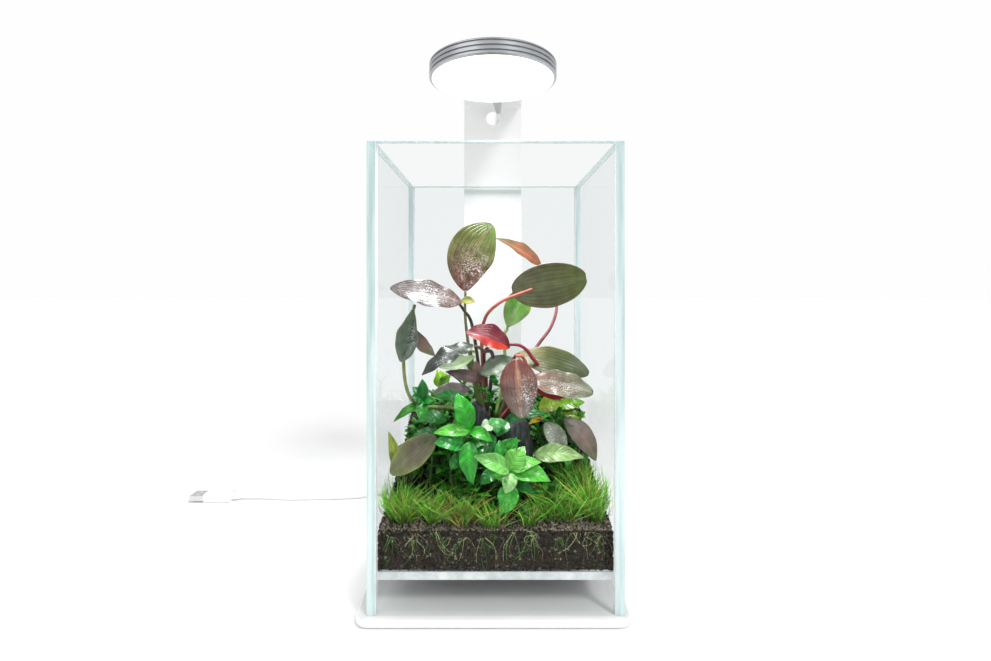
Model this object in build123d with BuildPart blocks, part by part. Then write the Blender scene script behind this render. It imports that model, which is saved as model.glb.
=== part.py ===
"""Planted glass tank on a steel stand, with a round lamp held by a magnet under the stand's arm.

Frame, in millimetres: the origin is on the table, midway between the base's front edge and the clips behind
the post, +Z is up, +Y points to the back, where the post stands, and +X is to the right seen from the front.
"""

import os
from math import cos, pi, radians, sin, tan

from build123d import *

os.makedirs("parts", exist_ok=True)

# ---------------------------------------------------------------- driving dimensions
# Tank: four glass walls and a floor pane raised above the walls' lower edges
tank_width = 150.0
tank_depth = 150.0
tank_height = 276.0
glass = 5.0
joint = 0.4  # silicone film between two panes
floor_lift = 18.0  # from the walls' lower edges to the floor pane's underside
tank_shift = 1.5  # the tank stands this far right of the stand's middle

# Stand: base plate, upright post with a bent arm, feet
side_margin = 5.5
front_margin = 4.2
base_thickness = 4.0
base_corner = 8.0
base_edge_round = 1.2
foot_height = 1.0
foot_radius = 6.0
foot_inset = 15.0
post_width = 50.0
post_thickness = 2.0
post_gap = 1.6  # tank's back wall to the post
post_rear_margin = 1.0  # post's back face to the base's rear edge
lower_bend = 2.0  # inner radius of the bend into the foot flange
upper_bend = 4.0  # inner radius of the bend into the arm
flange_length = 40.0
flange_recess_clearance = 0.2
arm_past_lamp = 13.0
arm_corner = 6.0

# Flange screws, countersunk M3
screw_shank = 1.45
screw_head = 2.75
screw_socket = 1.0
screw_sink = 0.1  # the head's face above the flange's underside
screw_bite = 1.2
screw_clearance = 0.15
seat_gap = 0.05  # between pieces that seat on each other
screw_pitch_x = 32.0
screw_pitch_y = 20.0
screw_first = 14.0  # post's front face to the rear pair

# Lamp: aluminium cup, opal diffuser, LED board, magnet holder
lamp_radius = 43.3
lamp_height = 10.3
lamp_clearance = 55.4  # tank's rim to the diffuser
lamp_forward = 21.0  # lamp's axis in front of the tank's middle
lamp_wall = 3.3
lamp_roof = 2.2
lamp_lip = 1.6  # width of the rim round the diffuser
lamp_lip_rise = 0.9
groove_count = 3
groove_width = 1.2
groove_depth = 1.0
groove_first = 2.5
groove_pitch = 3.0
diffuser_thickness = 1.8
diffuser_clearance = 0.15
seal_thickness = 0.4
board_thickness = 1.2
board_margin = 3.5
chip_width = 2.8
chip_length = 3.5
chip_height = 0.8
chip_counts = (6, 12, 18)  # LEDs in each ring, from the middle out
chip_edge = 6.5  # outermost ring to the board's edge
holder_radius = 15.0
holder_height = 7.2
magnet_radius = 10.0
magnet_thickness = 3.0
magnet_clearance = 0.1
lamp_screw_radius = 12.3  # bolt circle of the holder's screws
lamp_screw_shank = 0.95

# Lead from the lamp, held by clips down the back of the post
cable_radius = 1.75
cable_clearance = 0.1
wire_radius = 0.5
lead_turn = 3.5  # degrees that the lead's outlet is turned to the right of straight back
lead_rise = 5.3  # outlet's height above the diffuser
relief_length = 35.0
relief_root = 4.3
relief_tip = 2.3
relief_neck = 2.3
relief_flange = 2.75
relief_ribs = 6
relief_rib_step = 0.25
relief_flange_gap = 0.6  # inside of the wall to the flange
relief_flange_thickness = 1.0
lead_offset = 3.9  # lead's distance right of the post's middle
hole_clearance = 0.35  # lead to the side of the post's hole
lead_bend = 6.0
clip_count = 3
highest_clip = 34.0  # its upper face, below the arm
clip_width = 9.0
clip_height = 8.0
clip_wall = 0.9
clip_slit = 2.6
pad_thickness = 0.6
lowest_clip = 22.0  # its lower face, above the table

# Free cord on the table: push-button switch, coil, plug
switch_length = 34.0
switch_width = 15.0
switch_height = 10.0
switch_wall = 1.4
switch_nose = 4.0
button_radius = 4.0
button_proud = 1.2
button_travel = 0.8
button_clearance = 0.2
coil_turns_wide = 3
coil_turns_high = 2
coil_mean_radius = 20.0
coil_slack = 0.2
coil_behind = 54.5  # base's rear edge to the coil's back turn and the switch
plug_behind = 12.7  # base's rear edge to the plug
switch_inlet = 46.0  # right of the stand's middle
coil_left = 30.0  # left of the stand's middle
plug_left = 228.0
tie_thickness = 0.7
tie_width = 8.0
plug_body = (24.0, 12.6, 7.6)  # length, width, height
plug_shell = (12.0, 12.0, 4.5)
plug_shell_wall = 0.35
plug_nose = 8.0

# Planting
front_soil = 24.0  # soil depth at the front wall
soil_side_gap = 0.3
grass_height = 15.0
plant_gap = 0.4

# ---------------------------------------------------------------- derived places
base_width = tank_width + 2 * side_margin
base_depth = front_margin + tank_depth + post_gap + post_thickness + post_rear_margin
base_top = foot_height + base_thickness
clip_reach = pad_thickness + 2 * (clip_wall + cable_radius) + cable_clearance  # out from the post's back
overall_depth = base_depth - post_rear_margin + clip_reach
front_edge = -overall_depth / 2
base_middle = front_edge + base_depth / 2
rear_edge = front_edge + base_depth
tank_front = front_edge + front_margin
tank_back = tank_front + tank_depth
tank_middle = (tank_front + tank_back) / 2
post_back = rear_edge - post_rear_margin
post_front = post_back - post_thickness
floor_low = base_top + floor_lift
floor_top = floor_low + glass
rim = base_top + tank_height

lamp_y = tank_middle - lamp_forward
lamp_low = rim + lamp_clearance
lamp_top = lamp_low + lamp_height
arm_low = lamp_top + holder_height
arm_top = arm_low + post_thickness
arm_front = lamp_y - arm_past_lamp
board_radius = lamp_radius - lamp_wall - board_margin
chip_pitch = (board_radius - chip_edge) / len(chip_counts)
lead_z = lamp_low + lead_rise
lead_end = lamp_radius - lamp_wall - 1.6  # the lead stops this far from the lamp's axis, inside
lead_y = post_back + pad_thickness + clip_wall + cable_radius + cable_clearance
hole_radius = lead_offset + cable_radius + hole_clearance
table_cord = cable_radius + 0.05  # a cord's centre line where it lies on the table

inner_front = tank_front + glass


def save(part, label):
    """Labels a finished piece and writes its STEP file."""
    part.label = label
    export_step(part, f"parts/{label}.step")


def tube_along(path, radius, bore=0.0):
    """A round tube, or a rod where bore is 0, carried along a path's wire."""
    with BuildPart() as tube:
        with BuildSketch(Plane(origin=path @ 0, z_dir=path % 0)):
            Circle(radius)
            if bore:
                Circle(bore, mode=Mode.SUBTRACT)
        sweep(path=path)
    return tube.part


# ---------------------------------------------------------------- stand
flange_top = foot_height + post_thickness + flange_recess_clearance
flange_low = flange_top - post_thickness
notch_front = post_front - lower_bend - flange_recess_clearance
flange_front = notch_front - flange_length
screw_y = (post_front - screw_first, post_front - screw_first - screw_pitch_y)
screw_places = [(x, y) for x in (-screw_pitch_x / 2, screw_pitch_x / 2) for y in screw_y]


def make_base_plate():
    """White steel plate with rounded corners, a recess for the post's flange and a notch for the post."""
    with BuildPart() as base_plate:
        with BuildSketch(Plane.XY.offset(foot_height)):
            with Locations((0, base_middle)):
                RectangleRounded(base_width, base_depth, base_corner)
        extrude(amount=base_thickness)
        fillet(base_plate.faces().sort_by(Axis.Z)[-1].outer_wire().edges(), base_edge_round)
        chamfer(base_plate.faces().sort_by(Axis.Z)[0].outer_wire().edges(), base_edge_round / 3)
        recess_front = flange_front - flange_recess_clearance
        recess_width = post_width + 2 * flange_recess_clearance
        with BuildSketch(Plane.XY.offset(foot_height)):
            with Locations((0, (recess_front + rear_edge) / 2)):
                Rectangle(recess_width, rear_edge - recess_front)
        extrude(amount=flange_top - foot_height, mode=Mode.SUBTRACT)
        with BuildSketch(Plane.XY.offset(foot_height)):
            with Locations((0, (notch_front + rear_edge) / 2)):
                Rectangle(recess_width, rear_edge - notch_front)
        extrude(amount=base_thickness, mode=Mode.SUBTRACT)
        with BuildSketch(Plane.XY.offset(flange_top)):
            with Locations(*screw_places):
                Circle(screw_shank + 0.05)
        extrude(amount=screw_bite + 0.1, mode=Mode.SUBTRACT)
    save(base_plate.part, "base_plate")


def make_base_feet():
    """Four thin rubber feet under the corners."""
    with BuildPart() as base_feet:
        with BuildSketch():
            with Locations((0, base_middle)):
                with GridLocations(base_width - 2 * foot_inset, base_depth - 2 * foot_inset, 2, 2):
                    Circle(foot_radius)
        extrude(amount=foot_height)
        chamfer(base_feet.edges().group_by(Axis.Z)[0], 0.25)
    save(base_feet.part, "base_feet")


def make_post():
    """One bent steel strip: foot flange, upright with the cable hole, and the arm over the tank."""
    inner = [
        (flange_front, flange_top),
        (post_front, flange_top),
        (post_front, arm_low),
        (arm_front, arm_low),
    ]
    outer = [
        (flange_front, flange_low),
        (post_back, flange_low),
        (post_back, arm_top),
        (arm_front, arm_top),
    ]
    with BuildPart() as post:
        with BuildSketch(Plane.YZ):
            with BuildLine():
                FilletPolyline(*inner, radius=[lower_bend, upper_bend])
                FilletPolyline(*outer, radius=[lower_bend + post_thickness, upper_bend + post_thickness])
                Line(inner[0], outer[0])
                Line(inner[-1], outer[-1])
            make_face()
        extrude(amount=post_width / 2, both=True)
        arm_ends = post.edges().filter_by(Axis.Z).group_by(Axis.Z)[-1].sort_by(Axis.Y)[:2]
        fillet(arm_ends, arm_corner)
        flange_ends = post.edges().filter_by(Axis.Z).group_by(Axis.Z)[0].sort_by(Axis.Y)[:2]
        fillet(flange_ends, arm_corner / 2)
        with BuildSketch(Plane.XZ.offset(-post_front)):
            with Locations((0, lead_z)):
                Circle(hole_radius)
        extrude(amount=-post_thickness, mode=Mode.SUBTRACT)
        with Locations(*[Location((x, y, flange_low), (180, 0, 0)) for x, y in screw_places]):
            CounterSinkHole(
                radius=screw_shank + screw_clearance,
                counter_sink_radius=screw_head + screw_clearance,
                depth=post_thickness,
                counter_sink_angle=90,
            )
    save(post.part, "post")


def make_flange_screws():
    """Four countersunk screws that hold the post's flange to the base from below."""
    with BuildPart() as flange_screws:
        for x, y in screw_places:
            with BuildSketch(Plane(origin=(x, y, flange_low), x_dir=(1, 0, 0), z_dir=(0, -1, 0))):
                with BuildLine():
                    Polyline(
                        (0, screw_sink),
                        (screw_head, screw_sink),
                        (screw_shank, screw_sink + screw_head - screw_shank),
                        (screw_shank, post_thickness + screw_bite),
                        (0, post_thickness + screw_bite),
                        close=True,
                    )
                make_face()
            revolve(axis=Axis((x, y, 0), (0, 0, 1)))
        with BuildSketch(Plane.XY.offset(flange_low + screw_sink)):
            with Locations(*screw_places):
                RegularPolygon(screw_socket, 6)
        extrude(amount=screw_socket, mode=Mode.SUBTRACT)
    save(flange_screws.part, "flange_screws")


# ---------------------------------------------------------------- glass tank
def make_pane(label, width, depth, low, high, x, y):
    """One upright or lying pane with softly ground edges."""
    with BuildPart() as pane:
        with BuildSketch(Plane.XY.offset(low)):
            with Locations((x, y)):
                Rectangle(width, depth)
        extrude(amount=high - low)
        chamfer(pane.edges(), 0.25)
    save(pane.part, label)


def make_tank():
    """Side walls run the full depth; front and back walls stand between them; the floor lies inside."""
    half = tank_width / 2 - glass / 2
    between = tank_width - 2 * glass - 2 * joint
    make_pane("left_pane", glass, tank_depth, base_top, rim, tank_shift - half, tank_middle)
    make_pane("right_pane", glass, tank_depth, base_top, rim, tank_shift + half, tank_middle)
    make_pane("front_pane", between, glass, base_top, rim, tank_shift, tank_front + glass / 2)
    make_pane("back_pane", between, glass, base_top, rim, tank_shift, tank_back - glass / 2)
    floor_depth = tank_depth - 2 * glass - 2 * joint
    make_pane("floor_pane", between, floor_depth, floor_low, floor_top, tank_shift, tank_middle)


def make_seams():
    """Clear silicone: four upright films between the walls, and a frame of film round the floor pane."""
    wall_x = tank_width / 2 - glass - joint / 2
    wall_y = tank_depth / 2 - glass / 2
    ease = 0.25  # the panes' ground edges
    with BuildPart() as corner_seams:
        with BuildSketch(Plane.XY.offset(base_top + ease)):
            with Locations((tank_shift, tank_middle)):
                with GridLocations(2 * wall_x, 2 * wall_y, 2, 2):
                    Rectangle(joint, glass - 2 * ease)
        extrude(amount=tank_height - 2 * ease)
    save(corner_seams.part, "corner_seams")
    width = tank_width - 2 * glass
    depth = tank_depth - 2 * glass
    with BuildPart() as floor_seam:
        with BuildSketch(Plane.XY.offset(floor_low + ease)):
            with Locations((tank_shift, tank_middle)):
                Rectangle(width, depth)
                Rectangle(width - 2 * joint, depth - 2 * joint, mode=Mode.SUBTRACT)
        extrude(amount=glass - 2 * ease)
    save(floor_seam.part, "floor_seam")


# ---------------------------------------------------------------- planting
soil_run = tank_depth - 2 * glass - 2 * soil_side_gap
soil_width = tank_width - 2 * glass - 2 * soil_side_gap
soil_front = inner_front + soil_side_gap
# The bank's surface: share of the run from front to back, and height gained over the front
bank = ((0.0, 0.0), (0.33, 8.0), (0.62, 20.0), (0.8, 33.0), (1.0, 45.0))


def bank_line(lift):
    """The soil's surface as seen from the side, raised by lift: (y, z) points."""
    low = floor_top + front_soil + lift
    return [(soil_front + share * soil_run, low + gain) for share, gain in bank]


def bank_prism(lift, width, low):
    """The body between a level and the surface raised by lift, as wide as asked, about the tank's middle."""
    line = bank_line(lift)
    with BuildPart(mode=Mode.PRIVATE) as prism:
        with BuildSketch(Plane.YZ.offset(tank_shift)):
            with BuildLine():
                Spline(*line)
                Polyline(line[-1], (line[-1][0], low), (line[0][0], low), line[0])
            make_face()
        extrude(amount=width / 2, both=True)
    return prism.part


stone_places = (  # centre x, y, half length, half width, top above the floor pane, turn in degrees
    (20.0, -12.0, 15.0, 9.0, 72.0, 18.0),
    (-7.0, -1.0, 11.0, 8.0, 82.0, -25.0),
)


def stone_body(place, grow):
    """A tapered slab of slate with cut corners; grow widens it for the pocket in the soil."""
    x, y, length, width, top, turn = place
    foot = Plane(origin=(x, y, floor_top + 4.0 - grow), x_dir=(cos(radians(turn)), sin(radians(turn)), 0))
    with BuildPart(mode=Mode.PRIVATE) as stone:
        with BuildSketch(foot):
            RectangleRounded(2 * (length + grow), 2 * (width + grow), width / 3)
        with BuildSketch(foot.offset(top - 4.0 + 2 * grow)):
            with Locations((-length / 5, 0)):
                RectangleRounded(1.1 * length + 2 * grow, 0.9 * width + 2 * grow, width / 5)
        loft()
    return stone.part


def make_soil_and_stones():
    """Granular soil banked up to the back, with pockets for the two stones that stand in it."""
    pocket = 0.3
    with BuildPart() as soil:
        add(bank_prism(0.0, soil_width, floor_top))
        for place in stone_places:
            add(stone_body(place, pocket), mode=Mode.SUBTRACT)
    save(soil.part, "soil")
    for label, place in zip(("slate_stone_right", "slate_stone_left"), stone_places):
        with BuildPart() as stone:
            add(stone_body(place, 0.0))
        save(stone.part, label)


def make_grass():
    """Low grass in three patches on the bank, each a closed slab that follows the soil."""
    patches = {  # x from, x to, y from, y to, measured from the tank's middle
        "grass_left": (-66.0, -14.0, -66.0, -46.0),
        "grass_middle": (-12.0, 20.0, -66.0, -60.0),
        "grass_right": (23.0, 66.0, -66.0, -30.0),
    }
    for label, (x0, x1, y0, y1) in patches.items():
        with BuildPart() as grass:
            add(bank_prism(grass_height, soil_width, floor_top))
            add(bank_prism(plant_gap, soil_width + 2, floor_top - 1), mode=Mode.SUBTRACT)
            with BuildSketch(Plane.XY.offset(floor_top)):
                with Locations((tank_shift + (x0 + x1) / 2, tank_middle + (y0 + y1) / 2)):
                    RectangleRounded(x1 - x0, y1 - y0, 2.5)
            extrude(amount=tank_height / 2, mode=Mode.INTERSECT)
        save(grass.part, label)


def make_green_plants():
    """Bushy stem plants as round-topped bodies."""
    mounds = {  # centre x, y from the tank's middle, radius, top above the floor pane
        "green_plant_front": (4.0, -42.0, 17.0, 52.0),
        "green_plant_left": (-42.0, -21.0, 22.0, 98.0),
        "green_plant_right": (48.0, -8.0, 17.0, 88.0),
    }
    for label, (x, y, radius, top) in mounds.items():
        with BuildPart() as mound:
            with BuildSketch(Plane.XY.offset(floor_top)):
                with Locations((tank_shift + x, tank_middle + y)):
                    Circle(radius)
            extrude(amount=top)
            fillet(mound.edges().group_by(Axis.Z)[-1], 0.6 * radius)
            add(bank_prism(plant_gap, soil_width + 2, floor_top - 1), mode=Mode.SUBTRACT)
        save(mound.part, label)


broad_leaves = (  # petiole's way up from the crown, then the blade's tip, its width and the way it faces
    (((-12, 12, 130), (-17, 9, 165), (-19.5, 8.5, 193)), (-4, 14, 242), 35, (0.1, -1, 0.1)),
    (((-9, 8, 150), (-14, 6, 172), (-24, 1, 184)), (-64, -38, 194), 26, (0.1, -0.3, 1)),
    (((20, 20, 130), (36, 24, 160), (44, 28, 188), (42, 30, 212)), (4, 28, 232), 22, (0.3, -0.5, 1)),
    (((-6, 2, 140), (-4, -4, 168), (6, -12, 185), (19, -19, 193)), (64, -21, 201), 29, (0, -1, 0.25)),
    (((14, 20, 128), (20, 22, 140), (26, 20, 144)), (68, 12, 134), 22, (0, -0.4, 1)),
)


def make_broad_leaf_plant():
    """The tall plant: a rhizome, arching square leaf stalks and flat oval blades, all one body."""
    crown = Vector(-2, 16, floor_top + 66)
    stalk = 2.4
    overlap = 1.0
    with BuildPart() as broad_leaf_plant:
        with BuildSketch(Plane.XY.offset(floor_top)):
            with Locations((crown.X, crown.Y)):
                Rectangle(10, 8)
        extrude(amount=crown.Z + 12 - floor_top)
        add(bank_prism(plant_gap, soil_width + 2, floor_top - 1), mode=Mode.SUBTRACT)
        for stalk_way, tip, width, facing in broad_leaves:
            way = [crown + (0, 0, 8)] + [Vector(*p) for p in stalk_way]
            for start, end in zip(way, way[1:]):
                step = (end - start).normalized()
                with BuildSketch(Plane(origin=start - step * overlap, z_dir=step)):
                    Rectangle(stalk, stalk)
                extrude(amount=(end - start).length + 2 * overlap)
            base, tip = way[-1], Vector(*tip)
            along = tip - base
            normal = Vector(*facing) - along * (Vector(*facing).dot(along) / along.dot(along))
            blade = Plane(origin=(base + tip) * 0.5, x_dir=along, z_dir=normal)
            with BuildSketch(blade):
                Ellipse(along.length / 2, width / 2)
            extrude(amount=0.5, both=True)
    save(broad_leaf_plant.part, "broad_leaf_plant")


# ---------------------------------------------------------------- lamp
lead_angle = radians(lead_turn)
lead_way = Vector(sin(lead_angle), cos(lead_angle), 0)
lamp_axis = Axis((0, lamp_y, 0), (0, 0, 1))
roof_low = lamp_top - lamp_roof
board_low = roof_low - board_thickness


def lead_point(reach):
    """A point on the lead's outlet line, at that distance from the lamp's axis."""
    return Vector(0, lamp_y, lead_z) + lead_way * reach


def make_lamp_housing():
    """Turned aluminium cup, open below, with three grooves round its side and a hole for the lead."""
    ledge = lamp_low + diffuser_thickness + seal_thickness
    wall = [(lamp_radius - lamp_lip, 0), (lamp_radius, lamp_lip_rise)]
    for n in range(groove_count):
        middle = groove_first + n * groove_pitch
        wall += [
            (lamp_radius, middle - groove_width / 2),
            (lamp_radius - groove_depth, middle - groove_width / 4),
            (lamp_radius - groove_depth, middle + groove_width / 4),
            (lamp_radius, middle + groove_width / 2),
        ]
    wall += [(lamp_radius, lamp_height - 0.7), (lamp_radius - 0.7, lamp_height), (0, lamp_height)]
    inside = [
        (0, lamp_height - lamp_roof),
        (lamp_radius - lamp_wall, lamp_height - lamp_roof),
        (lamp_radius - lamp_wall, ledge - lamp_low),
        (lamp_radius - lamp_lip, ledge - lamp_low),
    ]
    with BuildPart() as lamp_housing:
        with BuildSketch(Plane(origin=(0, lamp_y, lamp_low), x_dir=(1, 0, 0), z_dir=(0, -1, 0))):
            with BuildLine():
                Polyline(*wall, *inside, close=True)
            make_face()
        revolve(axis=lamp_axis)
        with BuildSketch(Plane(origin=lead_point(lamp_radius - 2 * lamp_wall), z_dir=lead_way)):
            Circle(relief_neck + 0.1)
        extrude(amount=3 * lamp_wall, mode=Mode.SUBTRACT)
        with BuildSketch(Plane.XY.offset(roof_low)):
            with Locations((0, lamp_y)):
                with PolarLocations(lamp_screw_radius, 3):
                    Circle(lamp_screw_shank + 0.1)
        extrude(amount=lamp_roof, mode=Mode.SUBTRACT)
    save(lamp_housing.part, "lamp_housing")


def make_diffuser():
    """Opal disc in the housing's mouth, on a thin seal."""
    radius = lamp_radius - lamp_lip - diffuser_clearance
    with BuildPart() as diffuser:
        with BuildSketch(Plane.XY.offset(lamp_low)):
            with Locations((0, lamp_y)):
                Circle(radius)
        extrude(amount=diffuser_thickness)
        fillet(diffuser.edges().group_by(Axis.Z)[0], 0.4)
    save(diffuser.part, "diffuser")
    with BuildPart() as diffuser_seal:
        with BuildSketch(Plane.XY.offset(lamp_low + diffuser_thickness)):
            with Locations((0, lamp_y)):
                Circle(radius - 0.1)
                Circle(lamp_radius - lamp_wall + 0.1, mode=Mode.SUBTRACT)
        extrude(amount=seal_thickness)
    save(diffuser_seal.part, "diffuser_seal")


def make_led_board():
    """Round aluminium circuit board under the roof, its LEDs in rings, and the driver parts between them."""
    with BuildPart() as led_board:
        with BuildSketch(Plane.XY.offset(board_low)):
            with Locations((0, lamp_y)):
                Circle(board_radius)
        extrude(amount=board_thickness)
    save(led_board.part, "led_board")
    with BuildPart() as led_chips:
        with BuildSketch(Plane.XY.offset(board_low - chip_height)):
            for ring, count in enumerate(chip_counts, start=1):
                with Locations((0, lamp_y)):
                    with PolarLocations(ring * chip_pitch, count):
                        Rectangle(chip_width, chip_length)
        extrude(amount=chip_height)
    save(led_chips.part, "led_chips")
    with BuildPart() as driver_parts:
        with BuildSketch(Plane.XY.offset(board_low - 1.6)):
            for x, y, width, length in ((-2.5, 0, 4, 5), (3.0, 2.4, 2.5, 2), (3.0, -2.4, 2.5, 2)):
                with Locations((x, lamp_y + y)):
                    Rectangle(width, length)
        extrude(amount=1.6)
    save(driver_parts.part, "driver_parts")


def make_magnet_holder():
    """Round boss on the lamp's roof with a disc magnet in its top."""
    with BuildPart() as magnet_holder:
        with BuildSketch(Plane.XY.offset(lamp_top)):
            with Locations((0, lamp_y)):
                Circle(holder_radius)
        extrude(amount=holder_height)
        chamfer(magnet_holder.faces().sort_by(Axis.Z)[-1].edges(), 0.5)
        with BuildSketch(Plane.XY.offset(arm_low - magnet_thickness)):
            with Locations((0, lamp_y)):
                Circle(magnet_radius + magnet_clearance)
        extrude(amount=magnet_thickness, mode=Mode.SUBTRACT)
        with BuildSketch(Plane.XY.offset(lamp_top)):
            with Locations((0, lamp_y)):
                with PolarLocations(lamp_screw_radius, 3):
                    Circle(lamp_screw_shank + 0.05)
        extrude(amount=3.6, mode=Mode.SUBTRACT)
    save(magnet_holder.part, "magnet_holder")
    with BuildPart() as disc_magnet:
        with BuildSketch(Plane.XY.offset(arm_low - magnet_thickness)):
            with Locations((0, lamp_y)):
                Circle(magnet_radius)
        extrude(amount=magnet_thickness)
        chamfer(disc_magnet.edges(), 0.2)
    save(disc_magnet.part, "disc_magnet")


def make_lamp_screws():
    """Three threaded studs that join the housing's roof to the magnet holder."""
    with BuildPart() as holder_screws:
        with BuildSketch(Plane.XY.offset(roof_low)):
            with Locations((0, lamp_y)):
                with PolarLocations(lamp_screw_radius, 3):
                    Circle(lamp_screw_shank)
        extrude(amount=lamp_roof + 3.2)
    save(holder_screws.part, "holder_screws")


def make_strain_relief():
    """Tapered sleeve on the lamp's side, with a flange inside the wall and a ribbed cone outside."""
    inner = lamp_radius - lamp_wall - relief_flange_gap
    outer = lamp_radius + seat_gap
    flange = inner - relief_flange_thickness
    outline = [(cable_radius + cable_clearance, flange), (relief_flange, flange)]
    outline += [(relief_flange, inner), (relief_neck, inner), (relief_neck, outer), (relief_root, outer)]
    for n in range(relief_ribs):
        share = (n + 0.5) / relief_ribs
        radius = relief_root + (relief_tip - relief_root) * share
        outline += [(radius, outer + relief_length * share)]
        outline += [(radius - relief_rib_step, outer + relief_length * (share + 0.06))]
    outline += [(relief_tip, outer + relief_length), (cable_radius + cable_clearance, outer + relief_length)]
    section = Plane(origin=(0, lamp_y, lead_z), x_dir=(0, 0, 1), z_dir=lead_way.cross(Vector(0, 0, 1)))
    turn = 1 if section.y_dir.dot(lead_way) > 0 else -1
    with BuildPart() as strain_relief:
        with BuildSketch(section):
            with BuildLine():
                Polyline(*[(r, turn * reach) for r, reach in outline], close=True)
            make_face()
        revolve(axis=Axis((0, lamp_y, lead_z), tuple(lead_way)))
    save(strain_relief.part, "strain_relief")


def make_lamp_wires():
    """The lead's two conductors, from its end inside the housing to the board."""
    start = lead_point(lead_end - 0.05)
    with BuildPart() as lamp_wires:
        for side in (-0.9, 0.9):
            across = Vector(cos(lead_angle), -sin(lead_angle), 0) * side
            rise = Vector(0, 0, board_low - lead_z - wire_radius - seat_gap)
            end = lead_point(lamp_radius - lamp_wall - 7.0) + across + rise
            add(tube_along(Line(start + across, end), wire_radius))
    save(lamp_wires.part, "lamp_wires")


# ---------------------------------------------------------------- lead down the post
relief_end = lead_point(lamp_radius + relief_length)
clip_span = arm_low - highest_clip - clip_height - lowest_clip
clip_lows = [lowest_clip + n * clip_span / (clip_count - 1) for n in range(clip_count)]


def make_lead():
    """The lamp's cable: through the strain relief and the post's hole, then down the post's back."""
    way = [
        lead_point(lead_end),
        relief_end,
        Vector(lead_offset, lead_y, lead_z),
        Vector(lead_offset, lead_y, lowest_clip),
    ]
    with BuildLine() as route:
        FilletPolyline(*way, radius=[3 * lead_bend, lead_bend])
    lead = tube_along(route.wire(), cable_radius)
    save(lead, "lamp_lead")


def make_clips():
    """Small stick-on clips that hold the lead to the post's back."""
    depth = clip_reach - pad_thickness
    middle = post_back + pad_thickness + depth / 2
    with BuildPart() as cable_clips:
        for low in clip_lows:
            with BuildSketch(Plane.XY.offset(low)):
                with Locations((lead_offset, middle)):
                    RectangleRounded(clip_width, depth, 1.0)
                with Locations((lead_offset, lead_y)):
                    Circle(cable_radius + cable_clearance, mode=Mode.SUBTRACT)
                with Locations((lead_offset, lead_y + depth / 2)):
                    Rectangle(clip_slit, depth, mode=Mode.SUBTRACT)
            extrude(amount=clip_height)
    save(cable_clips.part, "cable_clips")
    with BuildPart() as clip_pads:
        for low in clip_lows:
            with BuildSketch(Plane.XY.offset(low)):
                with Locations((lead_offset, post_back + pad_thickness / 2)):
                    Rectangle(clip_width, pad_thickness)
            extrude(amount=clip_height)
    save(clip_pads.part, "clip_pads")


# ---------------------------------------------------------------- free cord on the table
switch_axis = switch_height / 2
switch_right = (switch_inlet, rear_edge + coil_behind)  # the switch's inlet face, x and y
switch_left = (switch_right[0] - switch_length - 2 * switch_nose, switch_right[1])
coil_outer_turn = coil_mean_radius + (coil_turns_wide - 1) * cable_radius
coil_low = tie_thickness + 0.1
coil_centre = (-coil_left, switch_right[1] - coil_outer_turn)
plug_point = Vector(-plug_left, rear_edge + plug_behind, plug_body[2] / 2)


def cord_radii(way):
    """A radius for each corner of a cord's route: 0.45 of its shorter run over the tangent of half its turn."""
    radii = []
    for before, corner, after in zip(way, way[1:], way[2:]):
        first, second = corner - before, after - corner
        turn = radians(first.get_angle(second))
        radii.append(0.45 * min(first.length, second.length) / tan(turn / 2))
    return radii


def make_cord(label, points):
    """A free stretch of cord: straight runs joined by tangent arcs. Prints its radii, length and volume."""
    way = [Vector(*p) for p in points]
    radii = cord_radii(way)
    with BuildLine() as route:
        FilletPolyline(*way, radius=radii)
    cord = tube_along(route.wire(), cable_radius)
    length = route.wire().length
    expected = pi * cable_radius**2 * length
    print(label, "radii", [round(r, 1) for r in radii], "length", round(length, 1))
    print(label, "volume share", round(cord.volume / expected, 4))
    save(cord, label)


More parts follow.
